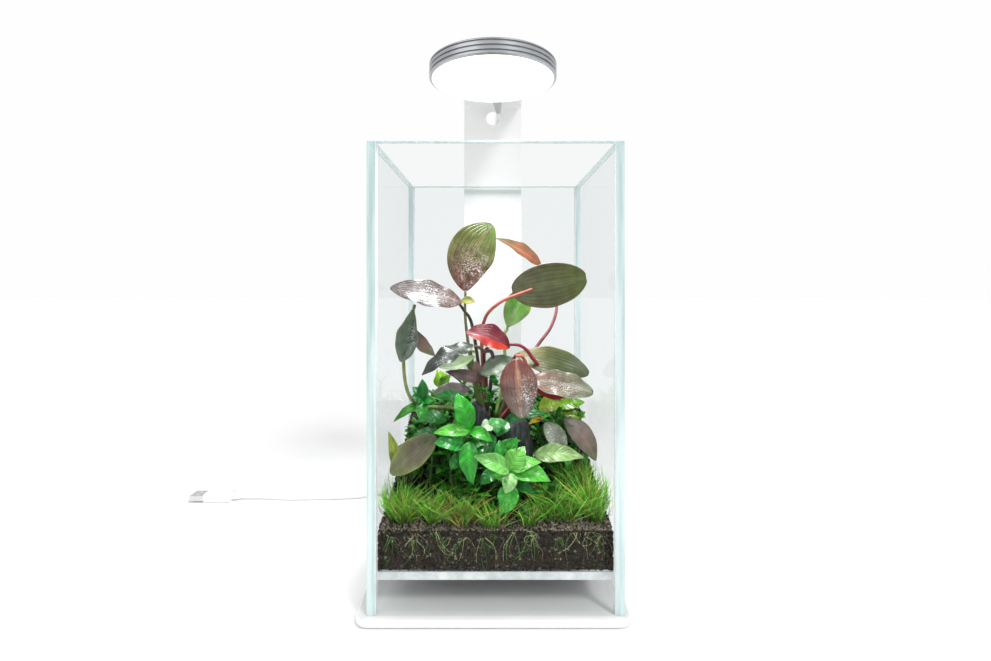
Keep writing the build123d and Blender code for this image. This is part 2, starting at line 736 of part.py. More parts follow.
def make_cords():
    """From the lowest clip to the switch, from the switch to the coil, and from the coil to the plug."""
    low, back, lead = table_cord, rear_edge, lead_offset
    coil_y = coil_centre[1] + coil_outer_turn
    to_switch = [
        (lead, lead_y, lowest_clip),
        (lead, lead_y, lowest_clip - 7.7),
        (lead + 2.9, lead_y + 3.5, low + 4.6),
        (lead + 8.0, lead_y + 9.4, low),
        (lead + 17.0, back + 17.5, low),
        (lead + 29.5, back + 20.5, low),
        (lead + 42.5, back + 23.5, low),
        (lead + 53.5, back + 30.5, low),
        (lead + 58.5, back + 41.5, low),
        (lead + 54.5, back + 51.0, low + 0.9),
        (switch_right[0] + 2.5, switch_right[1], switch_axis),
        (switch_right[0] - switch_nose, switch_right[1], switch_axis),
    ]
    make_cord("cord_to_switch", to_switch)
    to_coil = [
        (switch_left[0] + switch_nose, switch_left[1], switch_axis),
        (switch_left[0] - 2.5, switch_left[1], switch_axis),
        (switch_left[0] - 8.0, coil_y + 0.2, switch_axis - 1.0),
        (switch_left[0] - 14.0, coil_y, coil_low + cable_radius + 0.2),
        (coil_centre[0] + 6.0, coil_y - 0.4, coil_low + cable_radius),
    ]
    make_cord("cord_to_coil", to_coil)
    coil_high = coil_low + 3 * cable_radius
    to_plug = [
        (coil_centre[0] - 7.0, coil_y - 0.4, coil_high),
        (coil_centre[0] - 16.0, coil_y - 1.0, coil_high - 0.6),
        (coil_centre[0] - 27.0, coil_y - 3.5, low + 0.8),
        (-71.0, back + 46.5, low),
        (-86.0, back + 35.0, low),
        (-101.0, back + 24.0, low),
        (-119.0, back + 16.5, low),
        (-141.0, back + 14.2, low),
        (-164.0, back + 13.2, low),
        (-185.0, back + 12.2, low),
        (-199.0, back + 13.8, low),
        (-208.0, back + 14.6, low + 0.3),
        (-217.5, plug_point.Y, plug_point.Z),
        tuple(plug_point),
    ]
    make_cord("cord_to_plug", to_plug)


def make_coil():
    """The stored length of cord: the outer shape of its wound turns, and the band that ties them."""
    inner = coil_mean_radius - coil_turns_wide * cable_radius - coil_slack
    outer = coil_mean_radius + coil_turns_wide * cable_radius + coil_slack
    height = 2 * cable_radius * coil_turns_high + coil_slack
    with BuildPart() as cord_coil:
        with BuildSketch(Plane.XY.offset(coil_low)):
            with Locations(coil_centre):
                Circle(outer)
                Circle(inner, mode=Mode.SUBTRACT)
        extrude(amount=height)
        fillet(cord_coil.edges(), cable_radius / 2)
    save(cord_coil.part, "cord_coil")
    gap = 0.05
    near = (inner**2 - (tie_width / 2) ** 2) ** 0.5 - gap  # the ring's inner face at the tie's edges
    reach = outer + gap - near
    with BuildPart() as coil_tie:
        with BuildSketch(Plane.YZ.offset(coil_centre[0] - tie_width / 2)):
            with Locations((coil_centre[1] - near - reach / 2, coil_low + height / 2)):
                RectangleRounded(reach + 2 * tie_thickness, height + 2 * (tie_thickness + gap), 1.5)
                RectangleRounded(reach, height + 2 * gap, 0.8, mode=Mode.SUBTRACT)
        extrude(amount=tie_width)
    save(coil_tie.part, "coil_tie")


def make_switch():
    """In-line switch: two shells, a small board with a key, and a round push button."""
    middle = ((switch_right[0] + switch_left[0]) / 2, switch_right[1])
    split = switch_height * 0.45
    bore = cable_radius + cable_clearance

    def shell(label, low, high, roof_hole):
        """One half of the case, hollow towards the other half, with half of each cable nose."""
        with BuildPart() as half:
            with BuildSketch(Plane.XY.offset(low)):
                with Locations(middle):
                    RectangleRounded(switch_length, switch_width, 4.0)
            extrude(amount=high - low)
            outer_face = half.faces().sort_by(Axis.Z)[-1 if roof_hole else 0]
            fillet(outer_face.edges(), 1.2)
            with BuildSketch(Plane.YZ.offset(switch_left[0])):
                with Locations((middle[1], switch_axis)):
                    Circle(bore + 1.4)
                with Locations((middle[1], (low + high) / 2)):
                    Rectangle(4 * bore, high - low, mode=Mode.INTERSECT)
            extrude(amount=switch_length + 2 * switch_nose)
            inner_low = low if roof_hole else low + switch_wall
            inner_high = high - switch_wall if roof_hole else high
            with BuildSketch(Plane.XY.offset(inner_low)):
                with Locations(middle):
                    RectangleRounded(switch_length - 2 * switch_wall, switch_width - 2 * switch_wall, 2.6)
            extrude(amount=inner_high - inner_low, mode=Mode.SUBTRACT)
            with BuildSketch(Plane.YZ.offset(switch_left[0])):
                with Locations((middle[1], switch_axis)):
                    Circle(bore)
            extrude(amount=switch_length + 2 * switch_nose, mode=Mode.SUBTRACT)
            if roof_hole:
                with BuildSketch(Plane.XY.offset(high)):
                    with Locations(middle):
                        Circle(button_radius + button_clearance)
                extrude(amount=-switch_wall, mode=Mode.SUBTRACT)
        save(half.part, label)

    shell("switch_lower_shell", 0.0, split, False)
    shell("switch_upper_shell", split, switch_height, True)
    key_top = switch_height - switch_wall - 2.4
    with BuildPart() as switch_board:
        with BuildSketch(Plane.XY.offset(switch_wall)):
            with Locations(middle):
                Rectangle(switch_length - 10.0, switch_width - 2 * switch_wall - 0.6)
        extrude(amount=1.0)
        with BuildSketch(Plane.XY.offset(switch_wall + 1.0)):
            with Locations(middle):
                Rectangle(5.0, 5.0)
        extrude(amount=key_top - switch_wall - 1.0)
    save(switch_board.part, "switch_board")
    with BuildPart() as switch_button:
        with BuildSketch(Plane.XY.offset(key_top + button_travel + 0.1)):
            with Locations(middle):
                Circle(button_radius)
        extrude(amount=switch_height + button_proud - key_top - button_travel - 0.1)
        fillet(switch_button.edges().group_by(Axis.Z)[-1], 0.5)
    save(switch_button.part, "switch_button")


def make_plug():
    """Flat plug: moulded grip with a tapered nose, metal shell and the contact tongue inside it."""
    length, width, height = plug_body
    start = plug_point.X - plug_nose
    middle = (plug_point.Y, height / 2)
    with BuildPart() as plug_grip:
        with BuildSketch(Plane.YZ.offset(start - length)):
            with Locations(middle):
                RectangleRounded(width, height - 0.1, 2.0)
        extrude(amount=length)
        fillet(plug_grip.faces().sort_by(Axis.X)[0].edges(), 0.8)
        with BuildSketch(Plane.YZ.offset(start)):
            with Locations(middle):
                Circle(3.4)
        with BuildSketch(Plane.YZ.offset(plug_point.X)):
            with Locations(middle):
                Circle(2.4)
        loft()
        with BuildSketch(Plane.YZ.offset(start - length)):
            with Locations(middle):
                Rectangle(plug_shell[1] + 0.1, plug_shell[2] + 0.1)
        extrude(amount=4.0, mode=Mode.SUBTRACT)
    save(plug_grip.part, "plug_grip")
    seat = start - length + 4.0
    shell_length = plug_shell[0] + 4.0
    with BuildPart() as plug_contact_shell:
        with BuildSketch(Plane.YZ.offset(seat - shell_length)):
            with Locations(middle):
                Rectangle(plug_shell[1], plug_shell[2])
                Rectangle(
                    plug_shell[1] - 2 * plug_shell_wall,
                    plug_shell[2] - 2 * plug_shell_wall,
                    mode=Mode.SUBTRACT,
                )
        extrude(amount=shell_length)
        with BuildSketch(Plane.XY.offset(middle[1] - plug_shell[2] / 2)):
            with Locations((seat - shell_length + 6.0, middle[0])):
                with GridLocations(1, 5.4, 1, 2):
                    Rectangle(2.2, 2.2)
        extrude(amount=plug_shell[2], mode=Mode.SUBTRACT)
    save(plug_contact_shell.part, "plug_contact_shell")
    with BuildPart() as plug_tongue:
        with BuildSketch(Plane.YZ.offset(seat - shell_length + 0.6)):
            with Locations((middle[0], middle[1] + plug_shell[2] / 4 - plug_shell_wall / 2)):
                Rectangle(plug_shell[1] - 2 * plug_shell_wall - 0.2, plug_shell[2] / 2 - plug_shell_wall)
        extrude(amount=shell_length - 0.6)
    save(plug_tongue.part, "plug_tongue")


make_base_plate()
make_base_feet()
make_post()
make_flange_screws()
make_tank()
make_seams()
make_soil_and_stones()
make_grass()
make_green_plants()
make_broad_leaf_plant()
make_lamp_housing()
make_diffuser()
make_led_board()
make_magnet_holder()
make_lamp_screws()
make_strain_relief()
make_lamp_wires()
make_lead()
make_clips()
make_cords()
make_coil()
make_switch()
make_plug()
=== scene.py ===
import math

import bpy
import numpy as np
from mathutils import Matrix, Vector


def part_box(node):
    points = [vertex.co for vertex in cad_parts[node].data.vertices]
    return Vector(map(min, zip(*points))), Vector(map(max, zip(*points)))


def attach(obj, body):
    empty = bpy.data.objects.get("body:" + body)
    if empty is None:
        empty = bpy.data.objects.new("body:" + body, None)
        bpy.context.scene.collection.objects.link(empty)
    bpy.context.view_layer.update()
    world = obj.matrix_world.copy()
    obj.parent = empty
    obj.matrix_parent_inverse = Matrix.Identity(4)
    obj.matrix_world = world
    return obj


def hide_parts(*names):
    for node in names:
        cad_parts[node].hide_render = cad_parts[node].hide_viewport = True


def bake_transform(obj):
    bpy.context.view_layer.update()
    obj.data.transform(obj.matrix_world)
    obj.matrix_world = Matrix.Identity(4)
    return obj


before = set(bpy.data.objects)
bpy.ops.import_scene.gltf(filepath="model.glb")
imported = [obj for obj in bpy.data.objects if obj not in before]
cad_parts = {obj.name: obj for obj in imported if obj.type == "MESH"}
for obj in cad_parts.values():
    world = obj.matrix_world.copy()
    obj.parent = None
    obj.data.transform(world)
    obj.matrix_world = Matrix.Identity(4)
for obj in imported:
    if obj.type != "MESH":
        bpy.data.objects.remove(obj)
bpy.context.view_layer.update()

# ---------------------------------------------------------------- camera
# It stands level in front of the tank, on the stand's middle, with a wide lens. The lens is shifted and not tilted,
# so that the panes' upright edges stay upright.
base_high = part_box("base_plate")[1]
pane_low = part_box("front_pane")[0]
eye_aside = -0.0006
eye_back = 0.296
eye_height = 0.1958
camera_data = bpy.data.cameras.new("camera")
camera_data.lens = 18.53
camera_data.sensor_width = 36.0
camera_data.shift_x = 0.0035
camera_data.shift_y = -0.052
camera = bpy.data.objects.new("camera", camera_data)
camera.location = (eye_aside, pane_low[1] - eye_back, base_high[2] + eye_height)
camera.rotation_euler = (math.radians(90), 0, 0)
bpy.context.collection.objects.link(camera)
bpy.context.scene.camera = camera


# ---------------------------------------------------------------- free cord
# White round two-core lead in soft PVC. It leaves the lowest clip, runs to the push-button switch, is wound into a
# tied coil behind the tank and then lies out to the left, where it ends in a flat plug.
cord_radius = 0.00175


def add_node(tree, kind, inputs=None, **settings):
    """Adds a shader node, sets its options, and sets or links its inputs."""
    made = tree.nodes.new("ShaderNode" + kind)
    for key, value in settings.items():
        setattr(made, key, value)
    for key, value in (inputs or {}).items():
        if isinstance(value, bpy.types.NodeSocket):
            tree.links.new(value, made.inputs[key])
        else:
            made.inputs[key].default_value = value
    return made


def ramp(tree, factor, *stops):
    """A colour ramp over (position, colour) stops."""
    made = add_node(tree, "ValToRGB", {"Fac": factor})
    elements = made.color_ramp.elements
    while len(elements) < len(stops):
        elements.new(0.5)
    for element, (place, colour) in zip(elements, stops):
        element.position = place
        element.color = (*colour, 1.0)
    return made.outputs["Color"]


def object_place(tree):
    """A point's place on its piece, in the piece's own coordinates."""
    return add_node(tree, "TexCoord").outputs["Object"]


def noise(tree, place, scale, detail):
    """Fractal noise from 0 to 1 over a place, with scale cells to the metre."""
    return add_node(tree, "TexNoise", {"Vector": place, "Scale": scale, "Detail": detail}).outputs["Fac"]


def spread(tree, value, low=0.0, high=1.0, to_low=0.0, to_high=1.0):
    """A value's span from low to high, laid over the span from to_low to to_high."""
    spans = {"Value": value, "From Min": low, "From Max": high, "To Min": to_low, "To Max": to_high}
    return add_node(tree, "MapRange", spans).outputs["Result"]


def maths(tree, operation, *numbers):
    """One arithmetic step on one or two numbers or sockets."""
    return add_node(tree, "Math", dict(enumerate(numbers)), operation=operation).outputs[0]


def tinted(tree, colour, shade):
    """A colour multiplied by a shade."""
    mixed = add_node(tree, "Mix", {0: 1.0, 6: colour, 7: shade}, data_type="RGBA", blend_type="MULTIPLY")
    return mixed.outputs[2]


def roughen(tree, shader, height, strength, distance):
    """Bumps a shader's surface by a height."""
    relief = add_node(tree, "Bump", {"Height": height, "Strength": strength, "Distance": distance})
    tree.links.new(relief.outputs["Normal"], shader.inputs["Normal"])


def both_shaders(tree, share, first, second):
    """Ends a material in a share of the second shader over the first."""
    whole = add_node(tree, "MixShader", {0: share, 1: first, 2: second}).outputs[0]
    tree.links.new(whole, tree.nodes["Material Output"].inputs["Surface"])


def new_material(name, **sockets):
    """A Principled material with those socket values: its tree and shader."""
    material = bpy.data.materials.new(name)
    material.use_nodes = True
    shader = material.node_tree.nodes["Principled BSDF"]
    for key, value in sockets.items():
        shader.inputs[key.replace("_", " ")].default_value = value
    return material, material.node_tree, shader


def grained(name, colour, rough, drift=0.04, scale=900.0, bump=0.1, depth=0.00005, metal=0.0):
    """A plain finish whose colour and roughness wander a little, with a fine bump of the given grain."""
    material, tree, shader = new_material(name, Metallic=metal)
    place = object_place(tree)
    cloud = noise(tree, place, 60.0, 4.0)
    grain = noise(tree, place, scale, 3.0)
    dark = tuple(c * (1 - drift) for c in colour)
    light = tuple(min(1.0, c * (1 + drift)) for c in colour)
    tree.links.new(ramp(tree, cloud, (0.3, dark), (0.7, light)), shader.inputs["Base Color"])
    wander = spread(tree, grain, 0.3, 0.7, rough * 0.85, rough * 1.15)
    tree.links.new(wander, shader.inputs["Roughness"])
    roughen(tree, shader, grain, bump, depth)
    return material


def dress(node_names, material):
    """Gives CAD nodes a material."""
    for name in node_names.split():
        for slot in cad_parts[name].material_slots:
            slot.material = material


cord_finish = grained("cord_pvc", (0.86, 0.86, 0.85), 0.38, drift=0.03, scale=500.0, bump=0.15)


def cord_curve(name, points, replaced):
    """A round cord on a NURBS spline over its route's points, which replaces its CAD solids."""
    data = bpy.data.curves.new(name, "CURVE")
    data.dimensions = "3D"
    data.bevel_depth = cord_radius
    data.bevel_resolution = 3
    data.resolution_u = 6
    data.use_fill_caps = True
    spline = data.splines.new("NURBS")
    spline.points.add(len(points) - 1)
    spline.points.foreach_set("co", np.column_stack([points, np.ones(len(points))]).ravel())
    spline.order_u = 3
    spline.use_endpoint_u = True
    data.materials.append(cord_finish)
    piece = bpy.data.objects.new(name, data)
    bpy.context.collection.objects.link(piece)
    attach(piece, "stand")
    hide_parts(*replaced)
    return piece


to_switch = [
    (0.0039, 0.07925, 0.022),
    (0.0039, 0.07925, 0.0143),
    (0.0068, 0.08275, 0.0064),
    (0.0119, 0.08865, 0.0018),
    (0.0209, 0.0944, 0.0018),
    (0.0334, 0.0974, 0.0018),
    (0.0464, 0.1004, 0.0018),
    (0.0574, 0.1074, 0.0018),
    (0.0624, 0.1184, 0.0018),
    (0.0584, 0.1279, 0.0027),
    (0.0485, 0.1314, 0.0050),
    (0.0420, 0.1314, 0.0050),
]
to_coil = [
    (0.0080, 0.1314, 0.0050),
    (0.0015, 0.1314, 0.0050),
    (-0.0040, 0.1316, 0.0040),
    (-0.0100, 0.1314, 0.00275),
    (-0.0240, 0.1312, 0.00265),
]
to_plug = [
    (-0.0370, 0.1310, 0.0061),
    (-0.0460, 0.1304, 0.00545),
    (-0.0570, 0.1279, 0.0026),
    (-0.0710, 0.1234, 0.0018),
    (-0.0860, 0.1119, 0.0018),
    (-0.1010, 0.1009, 0.0018),
    (-0.1190, 0.0934, 0.0018),
    (-0.1410, 0.0911, 0.0018),
    (-0.1640, 0.0901, 0.0018),
    (-0.1850, 0.0891, 0.0018),
    (-0.1990, 0.0907, 0.0018),
    (-0.2080, 0.0915, 0.0021),
    (-0.2175, 0.0896, 0.0038),
    (-0.2280, 0.0896, 0.0038),
]
coil_centre = (-0.030, 0.1079)
coil_outer, coil_pitch, coil_floor = 0.0235, 0.0035, 0.00265
coil_count, points_a_turn = 6, 16


def coil_turns():
    """Six turns from the back of the coil: inwards on the lower layer, one climbing turn, outwards on the upper layer.

    The first two turns shrink by a cord's width each, the third rolls over the second to the upper layer, and the
    last three grow back to the outer radius."""
    turn = np.arange(1, coil_count * points_a_turn) / points_a_turn
    climb = np.clip(turn - 2, 0, 1)
    roll = climb * math.pi / 2
    shrink = coil_outer - coil_pitch * np.clip(turn, 0, 2)
    over = coil_outer - coil_pitch * np.clip(turn - 1, 1, 2) - coil_pitch * np.cos(roll)
    grow = coil_outer - coil_pitch * np.clip(5 - turn, 0, 2)
    radius = np.where(turn < 2, shrink, np.where(turn < 3, over, grow))
    height = coil_floor + coil_pitch * np.sin(roll)
    angle = math.pi / 2 + turn * math.tau
    swell = 1 / math.cos(math.pi / points_a_turn) ** 0.5
    x = coil_centre[0] + radius * swell * np.cos(angle)
    y = coil_centre[1] + radius * swell * np.sin(angle)
    return np.column_stack([x, y, height])


switch_cord = cord_curve("switch_cord", np.array(to_switch), ["cord_to_switch"])
coil_route = np.vstack([to_coil, coil_turns(), to_plug])
plug_cord = cord_curve("plug_cord", coil_route, ["cord_to_coil", "cord_coil", "cord_to_plug"])
shell_finish = grained("moulded_white", (0.85, 0.85, 0.84), 0.35, drift=0.02, scale=1500.0, bump=0.2)
dress("switch_lower_shell switch_upper_shell plug_grip", shell_finish)
dress("switch_button", grained("button_plastic", (0.62, 0.63, 0.64), 0.3, scale=1500.0))
dress("switch_board", grained("green_board", (0.03, 0.16, 0.07), 0.4))
dress("plug_contact_shell", grained("plated_shell", (0.72, 0.72, 0.73), 0.22, metal=1.0, scale=2500.0))
dress("plug_tongue", grained("plug_insulator", (0.8, 0.8, 0.8), 0.4))
dress("coil_tie", grained("tie_weave", (0.78, 0.78, 0.77), 0.75, scale=2500.0, bump=0.6, depth=0.0002))


# ---------------------------------------------------------------- floor and light
# A plain white floor under an even white dome. A soft light shines from high in front on the right, and a fainter
# and broader one from low in front on the left.
def mesh_object(name, verts, faces, material):
    """A mesh object at the origin, from arrays of points and faces."""
    mesh = bpy.data.meshes.new(name)
    mesh.from_pydata(verts, [], faces)
    mesh.materials.append(material)
    made = bpy.data.objects.new(name, mesh)
    bpy.context.collection.objects.link(made)
    return made


floor_half = 5.0
floor_corners = [(x * floor_half, y * floor_half, 0.0) for x, y in ((-1, -1), (1, -1), (1, 1), (-1, 1))]
floor_white = grained("floor_white", (0.955, 0.955, 0.955), 0.75, drift=0.004, scale=40.0, bump=0.0)
floor = mesh_object("floor", floor_corners, [(0, 1, 2, 3)], floor_white)


def distant_light(name, way, softness, strength):
    """A light as from a large far panel: the way it shines, the panel's width as seen from here, and its strength."""
    data = bpy.data.lights.new(name, "SUN")
    data.angle = math.radians(softness)
    data.energy = strength
    light = bpy.data.objects.new(name, data)
    light.rotation_euler = Vector(way).to_track_quat("-Z", "Y").to_euler()
    bpy.context.collection.objects.link(light)


distant_light("key", way=(-0.6, 0.75, -1.0), softness=14.0, strength=1.2)
distant_light("fill", way=(0.8, 0.8, -0.5), softness=40.0, strength=0.35)
dome_lights, dome_shows = 0.76, 0.99
world = bpy.data.worlds.new("studio")
world.use_nodes = True
background = world.node_tree.nodes["Background"]
background.inputs["Color"].default_value = (1.0, 1.0, 1.0, 1.0)
seen = add_node(world.node_tree, "LightPath").outputs["Is Camera Ray"]
strength = spread(world.node_tree, seen, to_low=dome_lights, to_high=dome_shows)
world.node_tree.links.new(strength, background.inputs["Strength"])
bpy.context.scene.world = world
bpy.context.scene.view_settings.view_transform = "Standard"


# ---------------------------------------------------------------- base and post
# Both are steel with a white satin powder coat, whose surface is very slightly pebbled. The post's flange is
# screwed under the base, which stands on four thin rubber feet.
powder_coat = grained("white_powder_coat", (0.87, 0.87, 0.865), 0.42, drift=0.01, scale=700.0, bump=0.25)
dress("base_plate post", powder_coat)
dress("base_feet", grained("foot_rubber", (0.5, 0.5, 0.49), 0.8, bump=0.5))
dress("flange_screws holder_screws", grained("zinc_plate", (0.6, 0.61, 0.63), 0.3, metal=1.0, scale=2000.0))


# ---------------------------------------------------------------- glass tank
# Five panes of low-iron float glass, 5 mm thick, glued with clear silicone. Their ground edges carry light and look
# pale sea green and glow faintly with painted light, while their faces show little but reflections at a low angle.
def glass_material(name, edge_faces, edge_light, edge_dark):
    """Clear faces that pass light straight on and mirror more at a low angle; frosted edges with a painted glow.

    The mirror's share is a small part plus the fifth power of how far the face turns away. The edge shows where the
    place on an axis is past a limit: edge_faces holds (axis, limit, side) with side 1 above the limit, -1 below."""
    material, tree, edge = new_material(name, Roughness=0.18, IOR=1.5)
    place = object_place(tree)
    facing = add_node(tree, "LayerWeight", {"Blend": 0.5}).outputs["Facing"]
    share = spread(tree, maths(tree, "POWER", facing, 5.0), to_low=mirror_least, to_high=mirror_most)
    clear = add_node(tree, "BsdfTransparent", {"Color": (0.965, 0.972, 0.972, 1.0)}).outputs[0]
    mirror = add_node(tree, "BsdfGlossy", {"Color": (0.95, 0.97, 0.97, 1.0), "Roughness": 0.015}).outputs[0]
    face = add_node(tree, "MixShader", {0: share, 1: clear, 2: mirror}).outputs[0]
    streaks = add_node(tree, "Mapping", {"Vector": place, "Scale": (260.0, 260.0, 14.0)}).outputs[0]
    cloud = noise(tree, streaks, 1.0, 3.0)
    tree.links.new(ramp(tree, cloud, (0.32, edge_dark), (0.6, edge_light)), edge.inputs["Base Color"])
    # Painted light: the edges glow faintly in their own pale colour.
    edge.inputs["Emission Strength"].default_value = painted_edge_glow
    edge.inputs["Emission Color"].default_value = (*edge_light, 1.0)
    axes = add_node(tree, "SeparateXYZ", {0: place}).outputs
    on_edge = 0.0
    for axis, limit, side in edge_faces:
        here = maths(tree, "GREATER_THAN" if side > 0 else "LESS_THAN", axes[axis], limit)
        on_edge = maths(tree, "MAXIMUM", on_edge, here)
    both_shaders(tree, maths(tree, "MULTIPLY", on_edge, edge_cover), face, edge.outputs[0])
    return material


mirror_least, mirror_most = 0.001, 0.30
# The glow strength is painted light on the panes' edges.
edge_skin, edge_cover, painted_edge_glow = 0.0003, 0.8, 0.12
sea_light, sea_dark = (0.58, 0.71, 0.71), (0.30, 0.46, 0.46)
deep_light, deep_dark = (0.40, 0.56, 0.54), (0.16, 0.30, 0.30)
for pane in ("left_pane", "right_pane", "front_pane", "back_pane"):
    low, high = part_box(pane)
    faces = [(2, high[2] - edge_skin, 1)]
    if pane in ("left_pane", "right_pane"):
        faces += [(1, low[1] + edge_skin, -1), (1, high[1] - edge_skin, 1)]
    dress(pane, glass_material("glass_" + pane, faces, sea_light, sea_dark))
low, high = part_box("floor_pane")
floor_faces = [(0, low[0] + edge_skin, -1), (0, high[0] - edge_skin, 1)]
floor_faces += [(1, low[1] + edge_skin, -1), (1, high[1] - edge_skin, 1)]
dress("floor_pane", glass_material("glass_floor_pane", floor_faces, deep_light, deep_dark))


def clear_bond():
    """Silicone film: mostly clear, with a milky sheen."""
    material, tree, shader = new_material("clear_silicone", Roughness=0.25)
    shader.inputs["Base Color"].default_value = (0.93, 0.95, 0.95, 1.0)
    milky = spread(tree, noise(tree, object_place(tree), 120.0, 2.0), 0.3, 0.7, 0.45, 0.75)
    clear = add_node(tree, "BsdfTransparent").outputs[0]
    both_shaders(tree, milky, clear, shader.outputs[0])
    return material


dress("corner_seams floor_seam", clear_bond())


# ---------------------------------------------------------------- soil
# Baked clay granules, banked up to the back behind the glass. The body of the bed is a dark rough mass, and loose
# granules of 1 to 2.5 mm cover its top and show against the front and side panes, with finer grit along the front.
rng = np.random.default_rng(7)
soil_low, soil_high = (np.array(corner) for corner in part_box("soil"))
bank_shares = (0.0, 0.33, 0.62, 0.80, 1.0)
bank_heights = (0.024, 0.032, 0.044, 0.057, 0.069)
grain_sink, grain_inset, pane_inset = 0.0012, 0.001, 0.0006
grain_play, grain_rise = 0.0002, 0.01


def linear(*colours):
    """Display colours of 0 to 255 as linear light."""
    share = np.array(colours, float) / 255
    return np.where(share < 0.04, share / 12.92, ((share + 0.055) / 1.055) ** 2.4)


def bank(y):
    """The bed's surface height at a depth, on straight runs between the bank's shares of its depth."""
    share = (y - soil_low[1]) / (soil_high[1] - soil_low[1])
    return soil_low[2] + np.interp(share, bank_shares, bank_heights)


def skin(name, rings, material, tint=None, leaf=None):
    """A mesh of closed bodies: each is a stack of rings joined by quads, with a point at each end's middle.

    rings is (bodies, rings, points, 3). tint (colour) and leaf (place on the blade) are kept as attributes."""
    bodies, count, around, _ = rings.shape

    def with_ends(values):
        """The two end values of each body are its end rings' means, written first and last."""
        first = values[:, :1].mean(2, keepdims=True)
        last = values[:, -1:].mean(2, keepdims=True)
        middle = values.reshape(bodies, 1, count * around, -1)
        return np.concatenate([first, middle, last], 2).reshape(-1, values.shape[-1])

    point = np.arange(around)
    after = (point + 1) % around
    step = (1 + around * np.arange(count - 1))[:, None]
    walls = np.stack([step + point, step + after, step + around + after, step + around + point], -1)
    last_ring = 1 + around * (count - 1)
    start = np.stack([np.zeros_like(point), after + 1, point + 1], -1)
    end = np.stack([np.full_like(point, count * around + 1), last_ring + point, last_ring + after], -1)
    shift = (np.arange(bodies) * (count * around + 2))[:, None, None]
    quads = (walls.reshape(1, -1, 4) + shift).reshape(-1, 4)
    triangles = (np.concatenate([start, end])[None] + shift).reshape(-1, 3)
    verts = with_ends(rings)
    corners = verts[triangles], verts[quads[:, :3]], verts[quads[:, [0, 2, 3]]]
    volume = sum(np.einsum("ij,ij->", c[:, 0], np.cross(c[:, 1], c[:, 2])) for c in corners)
    if volume < 0:
        quads, triangles = quads[:, ::-1], triangles[:, ::-1]
    made = mesh_object(name, verts.tolist(), quads.tolist() + triangles.tolist(), material)
    made.data.polygons.foreach_set("use_smooth", [True] * len(made.data.polygons))
    if tint is not None:
        colours = np.concatenate([with_ends(tint), np.ones((len(verts), 1))], 1)
        made.data.attributes.new("tint", "FLOAT_COLOR", "POINT").data.foreach_set("color", colours.ravel())
    if leaf is not None:
        made.data.attributes.new("leaf", "FLOAT_VECTOR", "POINT").data.foreach_set("vector", with_ends(leaf).ravel())
    return made


def soil_rings():
    """Rings round the bed: up its walls, then inwards over the top, where the height is the bank's plus a ripple."""
    margin, around, wall_steps, top_steps = 0.0007, 240, 6, 40
    low, high = soil_low + margin, soil_high - margin
    angle = np.linspace(0, math.tau, around, endpoint=False)
    square = np.maximum(np.abs(np.cos(angle)), np.abs(np.sin(angle)))
    across, along = np.cos(angle) / square, np.sin(angle) / square
    inward = np.concatenate([[0.05, 0.5, 1.0], np.ones(wall_steps), np.linspace(0.98, 0.02, top_steps)])[:, None]
    lift = np.concatenate([[0.0, 0.0, 0.0], np.linspace(0.17, 1, wall_steps), np.ones(top_steps)])[:, None]
    x = (low[0] + high[0]) / 2 + inward * across * (high[0] - low[0]) / 2
    y = (low[1] + high[1]) / 2 + inward * along * (high[1] - low[1]) / 2
    ripple = 0.0004 * np.sin(x * 900) * np.sin(y * 800 + 1) + 0.0004 * np.sin(x * 310 + y * 270)
    top = bank(y) + ripple * (inward < 1) - grain_sink
    return np.stack([x, y, low[2] + lift * (top - low[2])], -1)[None]


def granules(name, places, radii, colours, material):
    """One rounded grain at each place: a 20-faced ball, stretched and turned at random.

    The ball's 12 points are (0, 1, golden) with all signs and turns, over their length. Grains are cut off flat a
    hair outside the bed, where they lie against the glass."""
    golden = (1 + 5**0.5) / 2
    signs = np.array([(a, b) for a in (-1, 1) for b in (-1, 1)], float) * (1, golden)
    flat = np.column_stack([np.zeros(4), signs])
    ball = np.concatenate([flat, np.roll(flat, 1, 1), np.roll(flat, 2, 1)]) / (1 + golden**2) ** 0.5
    edge = np.linalg.norm(ball[:, None] - ball[None], axis=2) < 1.1
    points = len(ball)
    trios = [(a, b, c) for a in range(points) for b in range(a) for c in range(b) if edge[a, b] and edge[b, c]]
    trios = [(a, b, c) for a, b, c in trios if edge[a, c]]
    turned = [(a, b, c) if np.linalg.det(ball[[a, b, c]]) > 0 else (a, c, b) for a, b, c in trios]
    axes = rng.normal(size=(len(places), 3, 3))
    turns = np.linalg.qr(axes)[0]
    turns[:, 0] *= np.sign(np.linalg.det(turns))[:, None]
    grain = np.einsum("kvi,kij->kvj", ball * rng.uniform(0.75, 1.2, (len(places), 1, 3)), turns)
    verts = places[:, None] + grain * radii[:, None, None]
    verts = np.clip(verts, soil_low - grain_play, soil_high + (grain_play, grain_play, grain_rise)).reshape(-1, 3)
    faces = (np.array(turned)[None] + points * np.arange(len(places))[:, None, None]).reshape(-1, 3)
    made = mesh_object(name, verts.tolist(), faces.tolist(), material)
    made.data.polygons.foreach_set("use_smooth", [True] * len(faces))
    shades = np.repeat(np.column_stack([colours, np.ones(len(places))]), points, 0)
    made.data.attributes.new("tint", "FLOAT_COLOR", "POINT").data.foreach_set("color", shades.ravel())
    return made


def granule_finish():
    """Rough fired clay in the grain's own tint, with finer specks."""
    material, tree, shader = new_material("fired_clay", Roughness=0.75)
    tint = add_node(tree, "Attribute", attribute_name="tint").outputs["Color"]
    speck = noise(tree, object_place(tree), 1400.0, 3.0)
    shade = ramp(tree, speck, (0.3, (0.35, 0.35, 0.35)), (0.65, (1.0, 1.0, 1.0)), (0.75, (1.7, 1.7, 1.7)))
    tree.links.new(tinted(tree, tint, shade), shader.inputs["Base Color"])
    roughen(tree, shader, speck, 0.5, 0.0003)
    return material


